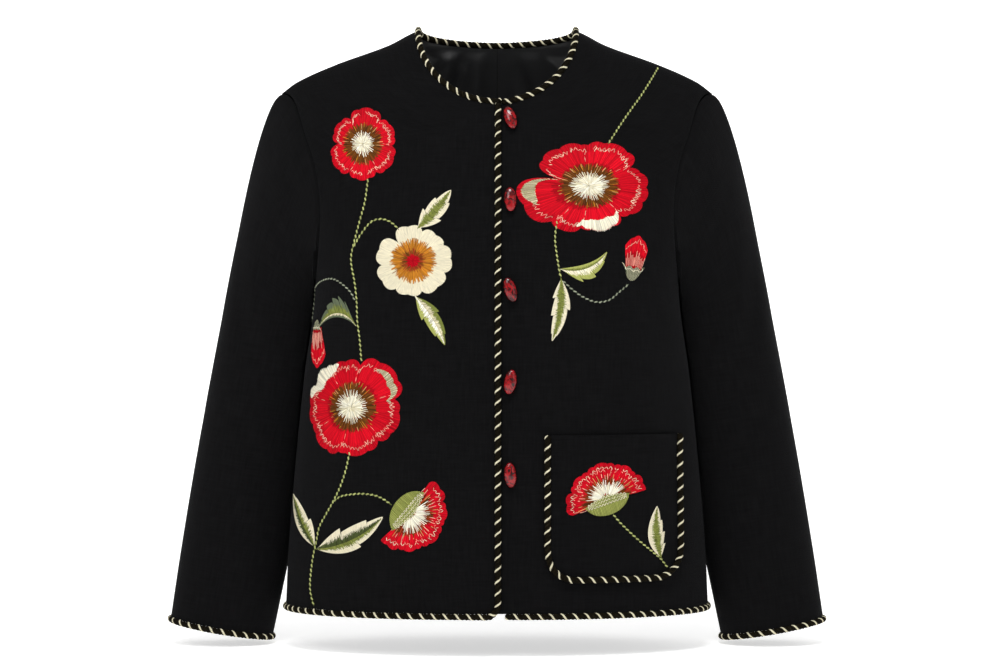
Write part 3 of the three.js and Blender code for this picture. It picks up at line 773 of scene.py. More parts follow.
def polar(angle, reach, size):
    """Places on an oval flower, at angles clockwise from up and shares of its half-sizes."""
    return np.stack([size[0] * reach * np.sin(angle), size[1] * reach * np.cos(angle)], axis=-1)


def arc_length(arc, size):
    """About how long an arc of degrees is, and its two ends in radians."""
    first, last = (math.radians(a) for a in arc)
    return (last - first) * sum(size) / 2, first, last


def petal_reach(angle, petals):
    """How far a flower's outline reaches at angles, over petals of (direction, spread, reach,
    scallops), directions clockwise from up. Also which petal is on top there."""
    best = np.full(angle.shape, 0.3)
    which = np.zeros(angle.shape, int)
    for n, (direction, spread, reach, scallops) in enumerate(petals):
        off = (np.degrees(angle) - direction + 180) % 360 - 180
        t = np.clip(2 * off / spread, -1, 1)
        dome = (1 - np.abs(t) ** 4) ** (1 / 2.6)
        wave = 0.945 + 0.055 * np.abs(np.sin(np.pi * scallops * (t + 1) / 2)) ** 0.7
        here = np.where(np.abs(2 * off) < spread, reach * dome * wave, 0)
        which = np.where(here > best, n, which)
        best = np.maximum(best, here)
    return best, which


# stitches from the petals' edge inwards: from, to, unevenness of each, tone, closeness, lift
PETAL_BANDS = (
    (0.70, 1.00, 0.04, 0.00, 0, 1.0, 0.10),
    (0.46, 0.92, 0.07, 0.07, 2, 0.9, 0.18),
    (0.12, 0.60, 0.06, 0.06, 1, 0.6, 0.24),
)
PETAL_THREAD, PETAL_SPACING = 0.92, 0.48
ALL_ROUND = (0, 360)


def fan(threads, petals, size, arc=ALL_ROUND, tones=(RED, DEEP_RED, BRIGHT_RED), vary=0.20):
    """Long and short stitches that fill a flower's petals from its heart outwards."""
    outer, first, last = arc_length(arc, size)
    for low, high, uneven_start, uneven_end, tone, closeness, lift in PETAL_BANDS:
        count = int(outer * closeness / PETAL_SPACING)
        place = np.arange(count) + DICE.uniform(0.1, 0.9, count)
        angle = first + (last - first) * place / count
        reach, which = petal_reach(angle, petals)
        start = low + DICE.uniform(-uneven_start, uneven_start, count)
        end = high - DICE.uniform(0, uneven_end, count)
        petal_shade = 1 + vary * (((which * 0.618) % 1)[:, None] - 0.5)
        tint = np.asarray(tones[tone]) * petal_shade
        inner_ends, outer_ends = (polar(angle, reach * share, size) for share in (start, end))
        threads.add(inner_ends, outer_ends, lift, PETAL_THREAD, tint, vary)


def rays(threads, size, rows, arc=ALL_ROUND):
    """Spiky stitches round a flower's heart, as uneven as a hand works them. Each row says
    from and to, unevenness, rays for a millimetre of half-size, colours, lift and width."""
    first, last = (math.radians(a) for a in arc)
    for low, high, uneven, close, colours, lift, width in rows:
        count = int(sum(size) / 2 * close)
        angle = first + (last - first) * (np.arange(count) + DICE.uniform(0, 1, count)) / count
        start = low * (1 + DICE.uniform(-0.3, 0.3, count))
        end = high * (1 + DICE.uniform(-uneven, uneven * 0.6, count))
        tint = np.asarray(colours)[DICE.integers(0, len(colours), count)]
        threads.add(polar(angle, start, size), polar(angle, end, size), lift, width, tint)


def zigzag(count):
    return np.where(np.arange(count) % 2, 1, -1)


def squiggle(threads, petals, size, colour, at, swing, step, gaps, lift=0.42, width=0.55,
             arc=ALL_ROUND):
    """A broken wavy line of small stitches that follows the petals' edges."""
    outer, first, last = arc_length(arc, size)
    count = int(outer * at / step)
    angle = first + (last - first) * np.arange(count + 1) / count
    reach, which = petal_reach(angle, petals)
    wave = at + swing * zigzag(count + 1) * DICE.uniform(0.5, 1.2, count + 1)
    places = polar(angle, reach * wave, size)
    run = np.convolve(DICE.uniform(0, 1, count), np.ones(3) / 3, mode="same")
    kept = (run > gaps) & (which[1:] == which[:-1])
    threads.add(places[:-1][kept], places[1:][kept], lift, width, colour)


def petal_lines(threads, petals, size, colour, low, high, lift=0.40, width=0.6):
    """Single long stitches that mark where one petal lies over the next."""
    angle = np.radians([direction - spread / 2 + 4 for direction, spread, _, _ in petals])
    reach = np.maximum(petal_reach(angle, petals)[0], 0.8)
    middle = (low + high) / 2
    for bend, start, end in ((0.0, low, middle), (0.05, middle, high)):
        starts, ends = polar(angle, reach * start, size), polar(angle + bend, reach * end, size)
        threads.add(starts, ends, lift, width, colour)


LEAF_THREAD, LEAF_SPACING, LEAF_LIFT = 0.682, 0.3224, 0.12


def leaf(threads, base, tip, bulges, teeth, colours, bend):
    """A leaf in fishbone stitches: bulges are its half-widths left and right of the midrib
    seen from its base, colours its heart and margin on each of those sides."""
    run = tip - base
    length = np.linalg.norm(run)
    ahead = run / length
    left = np.array((-ahead[1], ahead[0]))

    def midrib(t):
        t = t[:, None]
        return base + run * t + left * bend * length * 4 * t * (1 - t)

    for side, bulge, tooth, (heart, margin) in zip((1, -1), bulges, teeth, colours):
        count = int(length / LEAF_SPACING)
        t = (np.arange(count) + 0.5) / count
        width = bulge * np.sin(np.pi * t ** 0.85) ** 0.75 * (1 - 0.25 * t)
        if tooth:
            width = width * (0.80 + 0.30 * ((t * tooth) % 1.0))
        slope = 0.16 * bulge / length * 4
        inner = midrib(t * 0.96)
        outer = midrib(t + slope * 0.5 * (1 - t)) + left * side * width[:, None]
        part = (0.48 + DICE.uniform(-0.24, 0.24, count))[:, None]
        halfway, meeting = (mix(inner, outer, share) for share in (part * 0.6, part))
        threads.add(halfway, outer, LEAF_LIFT, LEAF_THREAD, margin, 0.06)
        threads.add(inner, meeting, 2 * LEAF_LIFT, LEAF_THREAD, heart, 0.30)


STEM_STEP = 1.55


def stem_run(places):
    """A smooth line through places on the front, and the direction to its left."""
    across, up = np.array(places, float).T
    way = np.linspace(0, len(across) - 1, 40 * len(across))
    knots = np.stack([np.arange(len(across)), across, up], axis=-1)
    x, z = onto_front(along(knots, 1, way), along(knots, 2, way))
    run, _ = evenly(np.stack([x, -body_depth(FRONT, x, z), z], axis=-1), STEM_STEP)
    line = run[:, [0, 2]]
    ahead = unit(np.gradient(line, axis=0))
    return line, np.stack([-ahead[:, 1], ahead[:, 0]], axis=-1)


def stem_piece(name, stems, surface=on_front):
    """One mesh of stems in stem stitch, slanting stitches that overlap along a line. Each is
    a row of places, a light and a dark colour and a thickness."""
    threads = Threads(surface=surface)
    for places, light, dark, thickness in stems:
        line, side = stem_run(places)
        side = side * thickness * 0.34
        threads.add(line[:-1], line[1:], 0.12, thickness * 0.55, dark)
        threads.add((line - side)[:-2:3], (line + side)[2::3], 0.32, thickness * 0.85, light, 0.10)
    return threads.mesh(name)


# Petals: direction clockwise from up, spread, reach, scallops. Reaches are shares of a size.
ROUND_PETALS = (
    (5, 78, 1.02, 3), (66, 76, 0.95, 3), (124, 74, 1.0, 3),
    (180, 72, 0.97, 3), (238, 76, 1.01, 3), (302, 74, 0.95, 3),
)
CREAM_PETALS = (
    (-8, 64, 0.98, 2), (40, 64, 0.95, 2), (86, 68, 1.0, 2), (138, 70, 0.98, 2),
    (188, 66, 0.95, 2), (236, 68, 1.0, 2), (290, 70, 0.98, 2),
)
WIDE_PETALS = (
    (-30, 90, 1.0, 4), (27, 74, 1.05, 3), (101, 104, 1.0, 5),
    (167, 64, 1.0, 3), (204, 44, 1.06, 1), (248, 78, 1.18, 2),
)
LOW_PETALS = (
    (351, 60, 0.97, 2), (46, 80, 1.12, 3), (110, 84, 0.99, 3), (174, 86, 0.99, 3),
    (226, 74, 1.10, 3), (270, 66, 1.12, 2), (311, 68, 0.98, 3),
)
SIDE_PETALS = (
    (-78, 56, 0.98, 2), (-36, 60, 0.95, 3), (6, 62, 0.98, 3), (48, 60, 0.96, 3), (86, 54, 1.0, 2),
)
WHITES = (WHITE, CREAM, WHITE, PALE)


def poppy(name, across, up, size, petals, heart, ring, pale_arcs=()):
    """A red poppy seen from above: petals, brown ring, white heart and pale edge lines."""
    threads = Threads(*onto_front(across, up))
    fan(threads, petals, size)
    rays(threads, size, (
        (heart * 0.8, ring, 0.16, 6.0, (BROWN, UMBER, BROWN), 0.72, 0.8),
        (ring * 0.76, ring * 1.06, 0.10, 0.9, (TAN, OCHRE, RUST), 0.86, 0.7),
        (heart * 0.6, heart * 1.32, 0.20, 1.3, WHITES, 1.05, 0.7),
        (0.03, heart * 0.92, 0.20, 3.0, WHITES, 1.10, 0.8),
        (0.01, heart * 0.5, 0.3, 1.2, (WHITE, PALE), 1.30, 0.8),
    ))
    squiggle(threads, petals, size, PINK, 0.85, 0.05, 1.9, 0.34)
    squiggle(threads, petals, size, CREAM, 0.82, 0.05, 2.3, 0.50)
    petal_lines(threads, petals, size, PINK, 0.56, 0.88)
    for arc in pale_arcs:
        pale_edge(threads, petals, size, *arc)
    return threads.mesh(name)


HATCH_SPACING = 0.55


def pale_edge(threads, petals, size, first, last, low, high, colours):
    """A petal's turned-over edge, hatched in pale thread between two directions."""
    count = int(math.radians(last - first) * sum(size) / 2 / HATCH_SPACING)
    angle = np.radians(np.linspace(first, last, count))
    reach, _ = petal_reach(angle, petals)
    t = np.linspace(0, 1, count)
    lens = np.sin(np.pi * t) ** 0.6
    middle = reach * (low + high) / 2
    half = reach * (high - low) / 2 * lens * DICE.uniform(0.85, 1.05, count)
    tint = np.asarray(colours)[np.arange(count) % len(colours)]
    starts, ends = polar(angle, middle - half, size), polar(angle, middle + half, size)
    threads.add(starts, ends, 0.62, 0.75, tint)


def cream_flower(name, across, up, size):
    """A cream flower seen from above, with an ochre ring and a red heart."""
    threads = Threads(*onto_front(across, up))
    fan(threads, CREAM_PETALS, size, tones=(CREAM, PALE, CREAM), vary=0.06)
    rays(threads, size, (
        (0.15, 0.60, 0.20, 6.0, (OCHRE, OCHRE, DEEP_OCHRE), 0.72, 0.75),
        (0.10, 0.36, 0.26, 2.4, (BROWN, RUST), 0.95, 0.7),
        (0.0, 0.20, 0.3, 2.2, (RED, DEEP_RED), 1.15, 0.75),
    ))
    squiggle(threads, CREAM_PETALS, size, SAND, 0.80, 0.06, 3.2, 0.5, 0.30, 0.4)
    petal_lines(threads, CREAM_PETALS, size, STRAW, 0.6, 0.95, 0.32, 0.45)
    return threads.mesh(name)


SIDE_ARC, HEART_ARC = (-98, 98), (-74, 74)
CUP_SPACING, BUD_SPACING = 0.42, 0.40


def side_poppy(name, across, up, size, turn, cup, surface=on_front):
    """A poppy seen from the side: a fan of petals above a netted green cup."""
    threads = Threads(*onto_front(across, up), turn, surface)
    fan(threads, SIDE_PETALS, size, SIDE_ARC)
    rays(threads, size, (
        (0.20, 0.60, 0.22, 3.0, (BROWN, UMBER, RUST), 0.72, 0.8),
        (0.52, 0.70, 0.12, 0.6, (TAN, PINK), 0.86, 0.6),
    ), SIDE_ARC)
    rays(threads, size, ((0.12, 0.50, 0.24, 1.5, (WHITE, CREAM, WHITE), 1.00, 0.8),), HEART_ARC)
    squiggle(threads, SIDE_PETALS, size, CREAM, 0.86, 0.05, 2.1, 0.34, arc=SIDE_ARC)
    squiggle(threads, SIDE_PETALS, size, PINK, 0.80, 0.05, 2.3, 0.50, arc=SIDE_ARC)
    petal_lines(threads, SIDE_PETALS, size, PINK, 0.6, 0.88)
    wide, high = cup
    count = int(wide * 2 / CUP_SPACING)
    t = np.linspace(-1, 1, count)
    rim_up = high * 0.34 * (1 - t * t) - high * 0.10
    foot_up = -high * 0.9 * np.sqrt(np.clip(1 - (t * 0.985) ** 2, 0, 1)) + rim_up * 0.2
    rim = np.stack([wide * t, rim_up], axis=-1)
    foot = np.stack([wide * t * 0.94, foot_up], axis=-1)
    middle = (rim + foot) / 2
    shade = np.where((np.arange(count) % 3 == 0)[:, None], LIGHT_GREEN, GREEN)
    threads.add(rim, middle + (foot - rim) * 0.06, 1.15, 0.72, shade)
    threads.add(middle - (foot - rim) * 0.06, foot, 1.05, 0.72, shade)
    for level in (0.10, 0.26, 0.42):
        line = mix(rim, foot, level)[5:-5:4]
        line[:, 1] += high * 0.08 * zigzag(len(line))
        threads.add(line[:-1], line[1:], 1.45, 0.6, CREAM)
    return threads.mesh(name)


def bud(name, across, up, turn, size, cup):
    """A closed bud: red petals standing in a grey-green cup."""
    threads = Threads(*onto_front(across, up), turn)
    wide, high = size
    count = int(wide * 2 / BUD_SPACING)
    t = np.linspace(-1, 1, count)
    foot = np.stack([t * wide * 0.62, 0 * t], axis=-1)
    top_up = high * (0.60 + 0.36 * np.cos(1.4 * t) + 0.04 * np.abs(np.cos(4.5 * t)))
    top = np.stack([t * wide, top_up], axis=-1)
    for start, end, uneven, lift, tone in (
        (0.42, 1.0, 0.0, 0.12, BRIGHT_RED),
        (0.0, 0.62, 0.06, 0.26, DEEP_RED),
    ):
        ends = end + DICE.uniform(-uneven, uneven, (count, 1))
        threads.add(mix(foot, top, start), mix(foot, top, ends), lift, 0.8, tone, 0.22)
    low, tall = foot[1::4], top[1::4]
    length = DICE.uniform(0.42, 0.70, (len(low), 1))
    threads.add(mix(low, tall, 0.10), mix(low, tall, length), 0.5, 0.65, PINK)
    low, tall = foot[::4], top[::4]
    crown = mix(low, tall, DICE.uniform(0.76, 0.92, (len(low), 1)))
    threads.add(crown[:-1], crown[1:], 0.45, 0.55, PINK)
    wide, high = cup
    count = int(wide * 2 / BUD_SPACING)
    t = np.linspace(-1, 1, count)
    rim = np.stack([t * wide, high * (0.25 + 0.25 * np.abs(np.sin(4.5 * t)))], axis=-1)
    base_up = -high * 0.75 * np.sqrt(np.clip(1 - t * t, 0, 1)) - 0.5
    base = np.stack([t * wide * 0.55, base_up], axis=-1)
    greens = np.asarray((PALE, DARK_GREY_GREEN, GREY_GREEN, DARK_GREY_GREEN))
    threads.add(rim, base, 0.6, 0.72, greens[np.arange(count) % 4])
    loops = mix(rim, base, 0.3)[::4]
    loops[:, 1] += 0.9 * zigzag(len(loops))
    threads.add(loops[:-1], loops[1:], 1.0, 0.6, CREAM)
    return threads.mesh(name)


def leaf_piece(name, leaves, surface=on_front):
    """One mesh of leaves, each a base and a tip on the drawing with its leaf() values."""
    threads = Threads(surface=surface)
    for base, tip, bulges, teeth, colours, bend in leaves:
        base, tip = (np.array(onto_front(*place)) for place in (base, tip))
        leaf(threads, base, tip, bulges, teeth, colours, bend)
    return threads.mesh(name)


# ---- The drawing -------------------------------------------------------------------------
# Places are (across, up) from the centre line and the side neck points, on the flat drawing.
OLIVE_STEM = ((0.40, 0.43, 0.16), (0.105, 0.12, 0.035), 1.8)
GREY_STEM = ((0.28, 0.30, 0.22), DARK_GREY_GREEN, 1.7)
RIGHT_STEMS = (
    (
        (
            (-129, -151), (-132, -173), (-137, -192), (-142, -211), (-146, -231),
            (-143, -252), (-141, -272), (-140, -292), (-137, -312), (-135, -333),
        ),
        *OLIVE_STEM,
    ),
    (
        ((-143, -218), (-136, -206), (-126, -194), (-115, -191), (-105, -195), (-98, -202)),
        *OLIVE_STEM,
    ),
    (
        (
            (-143, -272), (-147, -264), (-155, -256), (-164, -251), (-173, -252),
            (-180, -257), (-184, -267), (-186, -279), (-186, -294),
        ),
        *GREY_STEM,
    ),
    (
        (
            (-147, -424), (-151, -442), (-156, -457), (-163, -472), (-171, -486), (-178, -499),
            (-181, -514), (-184, -528), (-186, -543), (-187, -557), (-186, -567), (-183, -578),
        ),
        *OLIVE_STEM,
    ),
    (
        (
            (-163, -473), (-155, -468), (-141, -466), (-131, -466), (-120, -468), (-112, -472),
            (-105, -477),
        ),
        *OLIVE_STEM,
    ),
)
LEFT_STEMS = (
    (((161, -40), (152, -55), (143, -69), (128, -90), (111, -116)), *OLIVE_STEM),
    (((60, -193), (58, -211), (60, -228), (62, -241), (64, -250)), *OLIVE_STEM),
    (
        ((66, -253), (76, -262), (86, -269), (99, -274), (112, -272), (122, -264), (132, -256)),
        *GREY_STEM,
    ),
)
POCKET_STEMS = (
    (
        ((113, -483), (121, -493), (131, -503), (143, -514), (155, -524), (163, -531), (169, -539)),
        *OLIVE_STEM,
    ),
)

CREAM_LEAF = ((GREEN, CREAM), (GREEN, CREAM))
OLIVE_LEAF = ((DARK_GREEN, CREAM), (GREEN, CREAM))
PALE_LEAF = ((PALE, GREEN), (WHITE, LIGHT_GREEN))
TOOTHED_LEAF = ((PALE, GREY_GREEN), (GREEN, GREY_GREEN))
LIGHT_LEAF = ((GREEN, LIGHT_GREEN), (CREAM, LIGHT_GREEN))
# base, tip, half-widths left and right, teeth left and right, heart and margin of each, bend
RIGHT_LEAVES = (
    ((-80, -201), (-46, -162), (10.5, 11.0), (3, 2.6), CREAM_LEAF, -0.03),
    ((-82, -268), (-52, -317), (9.5, 9.5), (2.4, 2.6), PALE_LEAF, 0.05),
    ((-141, -298), (-178, -299), (4.5, 17.0), (0, 5.4), TOOTHED_LEAF, -0.34),
    ((-182, -519), (-204, -466), (7.5, 10.5), (0, 2.2), OLIVE_LEAF, 0.05),
    ((-182, -521), (-114, -489), (15.0, 11.0), (2.6, 1.8), OLIVE_LEAF, -0.09),
)
LEFT_LEAVES = (
    ((63, -241), (110, -224), (5.0, 12.5), (0, 3.4), LIGHT_LEAF, -0.17),
    ((64, -250), (55, -313), (9.5, 9.0), (2.2, 3.4), CREAM_LEAF, 0.06),
)
POCKET_LEAVES = (((163, -530), (159, -478), (9.5, 8.5), (0, 4.2), CREAM_LEAF, 0.05),)


def on_pocket(x, z, lift=0.0):
    """Points on the pocket's outer face, moved out by lift."""
    rise = np.clip((z - POCKET_BOTTOM) / (POCKET_TOP - POCKET_BOTTOM), 0, 1)
    column = np.clip((x - POCKET_LEFT) / (POCKET_RIGHT - POCKET_LEFT), 0, 1)
    open_by = POCKET_SAG * rise ** 3 * np.sin(np.pi * column)
    return on_front(x, z, POCKET_CLOTH + SEAM_GAP + open_by + lift)


# where each flower's petals turn over: from, to, shares of its reach, thread colours
TURNED = (CREAM, BROWN, PALE, GREEN)
WAIST_EDGES = ((279, 341, 0.78, 1.10, (CREAM, WHITE)), (34, 84, 0.76, 0.93, TURNED))
CHEST_EDGES = ((244, 285, 0.72, 0.95, TURNED), (140, 194, 0.72, 1.02, (CREAM, WHITE)))


# ---- Materials ---------------------------------------------------------------------------
def node_group(name, inputs, outputs):
    """An empty shader group with float or vector sockets, and its ends."""
    group = bpy.data.node_groups.new(name, "ShaderNodeTree")
    for label, kind, default in inputs:
        socket = group.interface.new_socket(label, in_out="INPUT", socket_type=kind)
        if default is not None:
            socket.default_value = default
    for label, kind in outputs:
        group.interface.new_socket(label, in_out="OUTPUT", socket_type=kind)
    return group, group.nodes.new("NodeGroupInput"), group.nodes.new("NodeGroupOutput")


def feed(tree, node, inputs):
    """Gives a node's inputs, by label or number, a plain value or another node's output."""
    for label, value in inputs.items():
        if isinstance(value, bpy.types.NodeSocket):
            tree.links.new(value, node.inputs[label])
        else:
            node.inputs[label].default_value = value
    return node


def math_node(tree, operation, *values):
    node = tree.nodes.new("ShaderNodeMath")
    node.operation = operation
    return feed(tree, node, dict(enumerate(values))).outputs[0]


def noise(tree, **inputs):
    return feed(tree, tree.nodes.new("ShaderNodeTexNoise"), inputs).outputs["Fac"]


def mapped(tree, **inputs):
    return feed(tree, tree.nodes.new("ShaderNodeMapping"), inputs).outputs[0]


def object_place(tree):
    return tree.nodes.new("ShaderNodeTexCoord").outputs["Object"]


def weave_group():
    """Plain weave: warp and weft ribs that pass over each other by turns."""
    name = "Plain weave"
    if name in bpy.data.node_groups:
        return bpy.data.node_groups[name]
    group, start, end = node_group(
        name,
        (
            ("Place", "NodeSocketVector", None),
            ("Threads", "NodeSocketFloat", 900.0),
            ("Slub", "NodeSocketFloat", 0.5),
        ),
        (("Height", "NodeSocketFloat"), ("Shade", "NodeSocketFloat")),
    )
    place = start.outputs["Place"]
    bend = noise(group, Vector=place, Scale=160.0, Detail=2.0)
    split = feed(group, group.nodes.new("ShaderNodeSeparateXYZ"), {0: place})
    centred = math_node(group, "SUBTRACT", bend, 0.5)
    wander = math_node(group, "MULTIPLY", centred, 1.6)
    ribs = []
    for axis in ("X", "Y"):
        turns = math_node(group, "MULTIPLY", split.outputs[axis], start.outputs["Threads"])
        turned = math_node(group, "MULTIPLY", math_node(group, "ADD", turns, wander), math.pi)
        ribs.append(math_node(group, "SINE", turned))
    over = math_node(group, "GREATER_THAN", math_node(group, "MULTIPLY", *ribs), 0.0)
    warp = math_node(group, "MULTIPLY", math_node(group, "ABSOLUTE", ribs[0]), over)
    under = math_node(group, "SUBTRACT", 1.0, over)
    weft = math_node(group, "MULTIPLY", math_node(group, "ABSOLUTE", ribs[1]), under)
    rib = math_node(group, "ADD", warp, weft)
    slubs = []
    for stretch in ((90.0, 1400.0, 1.0), (1400.0, 90.0, 1.0)):
        stretched = mapped(group, Vector=place, Scale=stretch)
        slubs.append(noise(group, Vector=stretched, Scale=0.45, Detail=3.0))
    slub = math_node(group, "MULTIPLY", math_node(group, "ADD", *slubs), start.outputs["Slub"])
    for output, share in (("Height", 0.6), ("Shade", 0.35)):
        mixed = math_node(group, "ADD", math_node(group, "MULTIPLY", rib, share), slub)
        feed(group, end, {output: mixed})
    return group


def fibre_group():
    """Fine fibres that run along a thread or strand, as streaks."""
    name = "Fibres"
    if name in bpy.data.node_groups:
        return bpy.data.node_groups[name]
    group, start, end = node_group(
        name,
        (("Place", "NodeSocketVector", None), ("Fineness", "NodeSocketFloat", 1.0)),
        (("Height", "NodeSocketFloat"), ("Shade", "NodeSocketFloat")),
    )
    slant = (0.0, 0.0, math.radians(12))
    place = mapped(
        group, Vector=start.outputs["Place"], Scale=(260.0, 2600.0, 1.0), Rotation=slant
    )
    streaks = noise(group, Vector=place, Scale=start.outputs["Fineness"], Detail=3.0)
    feed(group, end, {"Height": streaks, "Shade": streaks})
    return group


def new_material(name, roughness, specular):
    material = bpy.data.materials.get(name)
    if material:
        return material, None, None
    material = bpy.data.materials.new(name)
    material.use_nodes = True
    tree = material.node_tree
    shader = tree.nodes["Principled BSDF"]
    feed(tree, shader, {"Roughness": roughness, "Specular IOR Level": specular})
    return material, tree, shader


def grouped(tree, group, **values):
    node = tree.nodes.new("ShaderNodeGroup")
    node.node_tree = group
    place = tree.nodes.new("ShaderNodeUVMap")
    place.uv_map = "cut"
    return feed(tree, node, {"Place": place.outputs["UV"], **values})


def bumped(tree, shader, height, distance, strength):
    bump = tree.nodes.new("ShaderNodeBump")
    feed(tree, bump, {"Distance": distance, "Strength": strength, "Height": height})
    feed(tree, shader, {"Normal": bump.outputs["Normal"]})


def blended(tree, shader, factor, dark, light, low=0.3, high=0.7):
    """Colours a shader between two colours, by a mask read between low and high."""
    ramp = tree.nodes.new("ShaderNodeValToRGB")
    ramp.color_ramp.elements[0].position, ramp.color_ramp.elements[1].position = low, high
    ramp.color_ramp.elements[0].color = (*dark, 1)
    ramp.color_ramp.elements[1].color = (*light, 1)
    feed(tree, ramp, {"Fac": factor})
    feed(tree, shader, {"Base Color": ramp.outputs["Color"]})


def toned(colour, share, more=0.0):
    """A colour made lighter or darker."""
    return tuple(min(c * share + more, 1) for c in colour)


def cloth_material():
    material, tree, shader = new_material("black woven cloth", 0.95, 0.045)
    if tree:
        weave = grouped(tree, weave_group(), Threads=1150.0, Slub=0.5)
        colour = bpy.context.scene.jacket_colours.cloth
        dark, light = toned(colour, 0.4), toned(colour, 1.9, 0.001)
        blended(tree, shader, weave.outputs["Shade"], dark, light, 0.38, 0.98)
        feed(tree, shader, {"Sheen Weight": 0.022, "Sheen Roughness": 0.45})
        feed(tree, shader, {"Sheen Tint": (0.75, 0.75, 0.8, 1)})
        bumped(tree, shader, weave.outputs["Height"], 0.0004, 0.55)
    return material


def satin_material():
    material, tree, shader = new_material("black satin lining", 0.36, 1.0)
    if tree:
        fibre = grouped(tree, fibre_group(), Fineness=1.2)
        colour = bpy.context.scene.jacket_colours.lining
        blended(tree, shader, fibre.outputs["Shade"], toned(colour, 0.6), toned(colour, 1.6))
        bumped(tree, shader, fibre.outputs["Height"], 0.0001, 0.25)
    return material


def strand_material(name, dark, light, low=0.3, high=0.7):
    material, tree, shader = new_material(name, 0.80, 0.05)
    if tree:
        fibre = grouped(tree, fibre_group(), Fineness=0.55)
        blended(tree, shader, fibre.outputs["Shade"], dark, light, low, high)
        bumped(tree, shader, fibre.outputs["Height"], 0.0005, 0.7)
    return material


def thread_material():
    material, tree, shader = new_material("embroidery thread", 0.65, 0.06)
    if tree:
        dyed = tree.nodes.new("ShaderNodeAttribute")
        dyed.attribute_name = "thread_colour"
        fibre = grouped(tree, fibre_group(), Fineness=0.6)
        streaks = math_node(tree, "MULTIPLY", fibre.outputs["Shade"], 0.7)
        strength = math_node(tree, "ADD", streaks, 0.65)
        tinted = tree.nodes.new("ShaderNodeVectorMath")
        tinted.operation = "SCALE"
        feed(tree, tinted, {0: dyed.outputs["Color"], "Scale": strength})
        feed(tree, shader, {"Base Color": tinted.outputs[0]})
        bumped(tree, shader, fibre.outputs["Height"], 0.0003, 0.6)
    return material


def button_material():
    material, tree, shader = new_material("polished dark red button", 0.14, 0.35)
    if tree:
        place = object_place(tree)
        clouds = noise(tree, Vector=place, Scale=190.0, Detail=4.0, Distortion=1.2)
        colour = bpy.context.scene.jacket_colours.buttons
        blended(tree, shader, clouds, toned(colour, 0.10), colour, 0.40, 0.60)
        cloudy = math_node(tree, "MULTIPLY", clouds, 0.12)
        feed(tree, shader, {"Roughness": math_node(tree, "ADD", cloudy, 0.08)})
        feed(tree, shader, {"Coat Weight": 0.25, "Coat Roughness": 0.05})
        bumped(tree, shader, clouds, 0.0003, 0.25)
    return material


def floor_material():
    material, tree, shader = new_material("pale floor", 0.9, 0.1)
    if tree:
        grain = noise(tree, Vector=object_place(tree), Scale=30.0)
        colour = bpy.context.scene.jacket_colours.floor
        blended(tree, shader, grain, toned(colour, 0.99), colour)
        feed(tree, shader, {"Emission Color": (1, 1, 1, 1), "Emission Strength": FLOOR_GLOW})
    return material


# ---- What a user may change --------------------------------------------------------------
def share_property(name, what, high):
    return FloatProperty(
        name=name, description=f"How deep {what} are", default=1.0, min=0.0, max=high,
        subtype="FACTOR",
    )


def colour_property(name, what, colour):
    return FloatVectorProperty(
        name=name, description=f"Colour of {what}", default=colour, min=0, max=1, subtype="COLOR"
    )


class JacketSizes(bpy.types.PropertyGroup):
    cord_lead: FloatProperty(
        name="Cord lead", description="Length of one turn of the cord's twist",
        default=0.0114, min=0.006, max=0.03, unit="LENGTH",
    )
    crease: share_property("Creases", "the cloth's soft creases", 3.0)
    lining_fold: share_property("Lining folds", "the lining's soft folds", 2.0)


class JacketColours(bpy.types.PropertyGroup):
    cloth: colour_property("Cloth", "the woven cloth", (0.0030, 0.0030, 0.0032))
    lining: colour_property("Lining", "the satin lining", (0.010, 0.010, 0.0107))
    cord_dark: colour_property("Dark cord", "the cord's dark plies", (0.0042, 0.0032, 0.0014))
    cord_pale: colour_property("Pale cord", "the cord's thin pale ply", (0.86, 0.80, 0.57))
    buttons: colour_property("Buttons", "the buttons' brightest clouds", (0.32, 0.002, 0.005))
    floor: colour_property("Floor", "the floor and the backdrop", (0.86, 0.86, 0.86))


def finished(piece, slot, *materials):
    """Gives a piece its materials and its body. Its slot is not used."""
    for material in materials:
        piece.data.materials.append(material)
    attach(piece, "root")
    return piece


def cord_piece(name, node, centre, outward, closed=False):
    colours = bpy.context.scene.jacket_colours
    dark, pale = colours.cord_dark, colours.cord_pale
    lead = bpy.context.scene.jacket_sizes.cord_lead / MM
    plies = strand_material("dark cord plies", dark, toned(dark, 6.0, 0.002), 0.50, 0.78)
    thin = strand_material("pale cord ply", toned(pale, 0.62), pale)
    piece = finished(twisted(name, centre, outward, lead, closed), "cord", plies, thin)
    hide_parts(node)
    return piece


class JACKET_OT_body(bpy.types.Operator):
    """Makes both fronts and the back as thin shells of woven cloth"""

    bl_idname = "jacket.body"
    bl_label = "Fronts and back"

    def execute(self, context):
        cloth = cloth_material()
        over = [dressed(FRONT, WEARERS_RIGHT, EDGE_OVER, EDGE_CORNER)]
        right = shell("front_right_cloth", over, keep=before_seam)
        under = [dressed(FRONT, WEARERS_LEFT, EDGE_UNDER, under=True)]
        left = shell("front_left_cloth", under, keep=before_seam)
        halves = [dressed(BACK, side, 0.0) for side in (WEARERS_RIGHT, WEARERS_LEFT)]
        back = shell("back_cloth", halves, keep=behind_seam)
        for piece, node in ((right, "front_right"), (left, "front_left"), (back, "back")):
            finished(piece, "cloth", cloth)
            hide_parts(node)
        return {"FINISHED"}


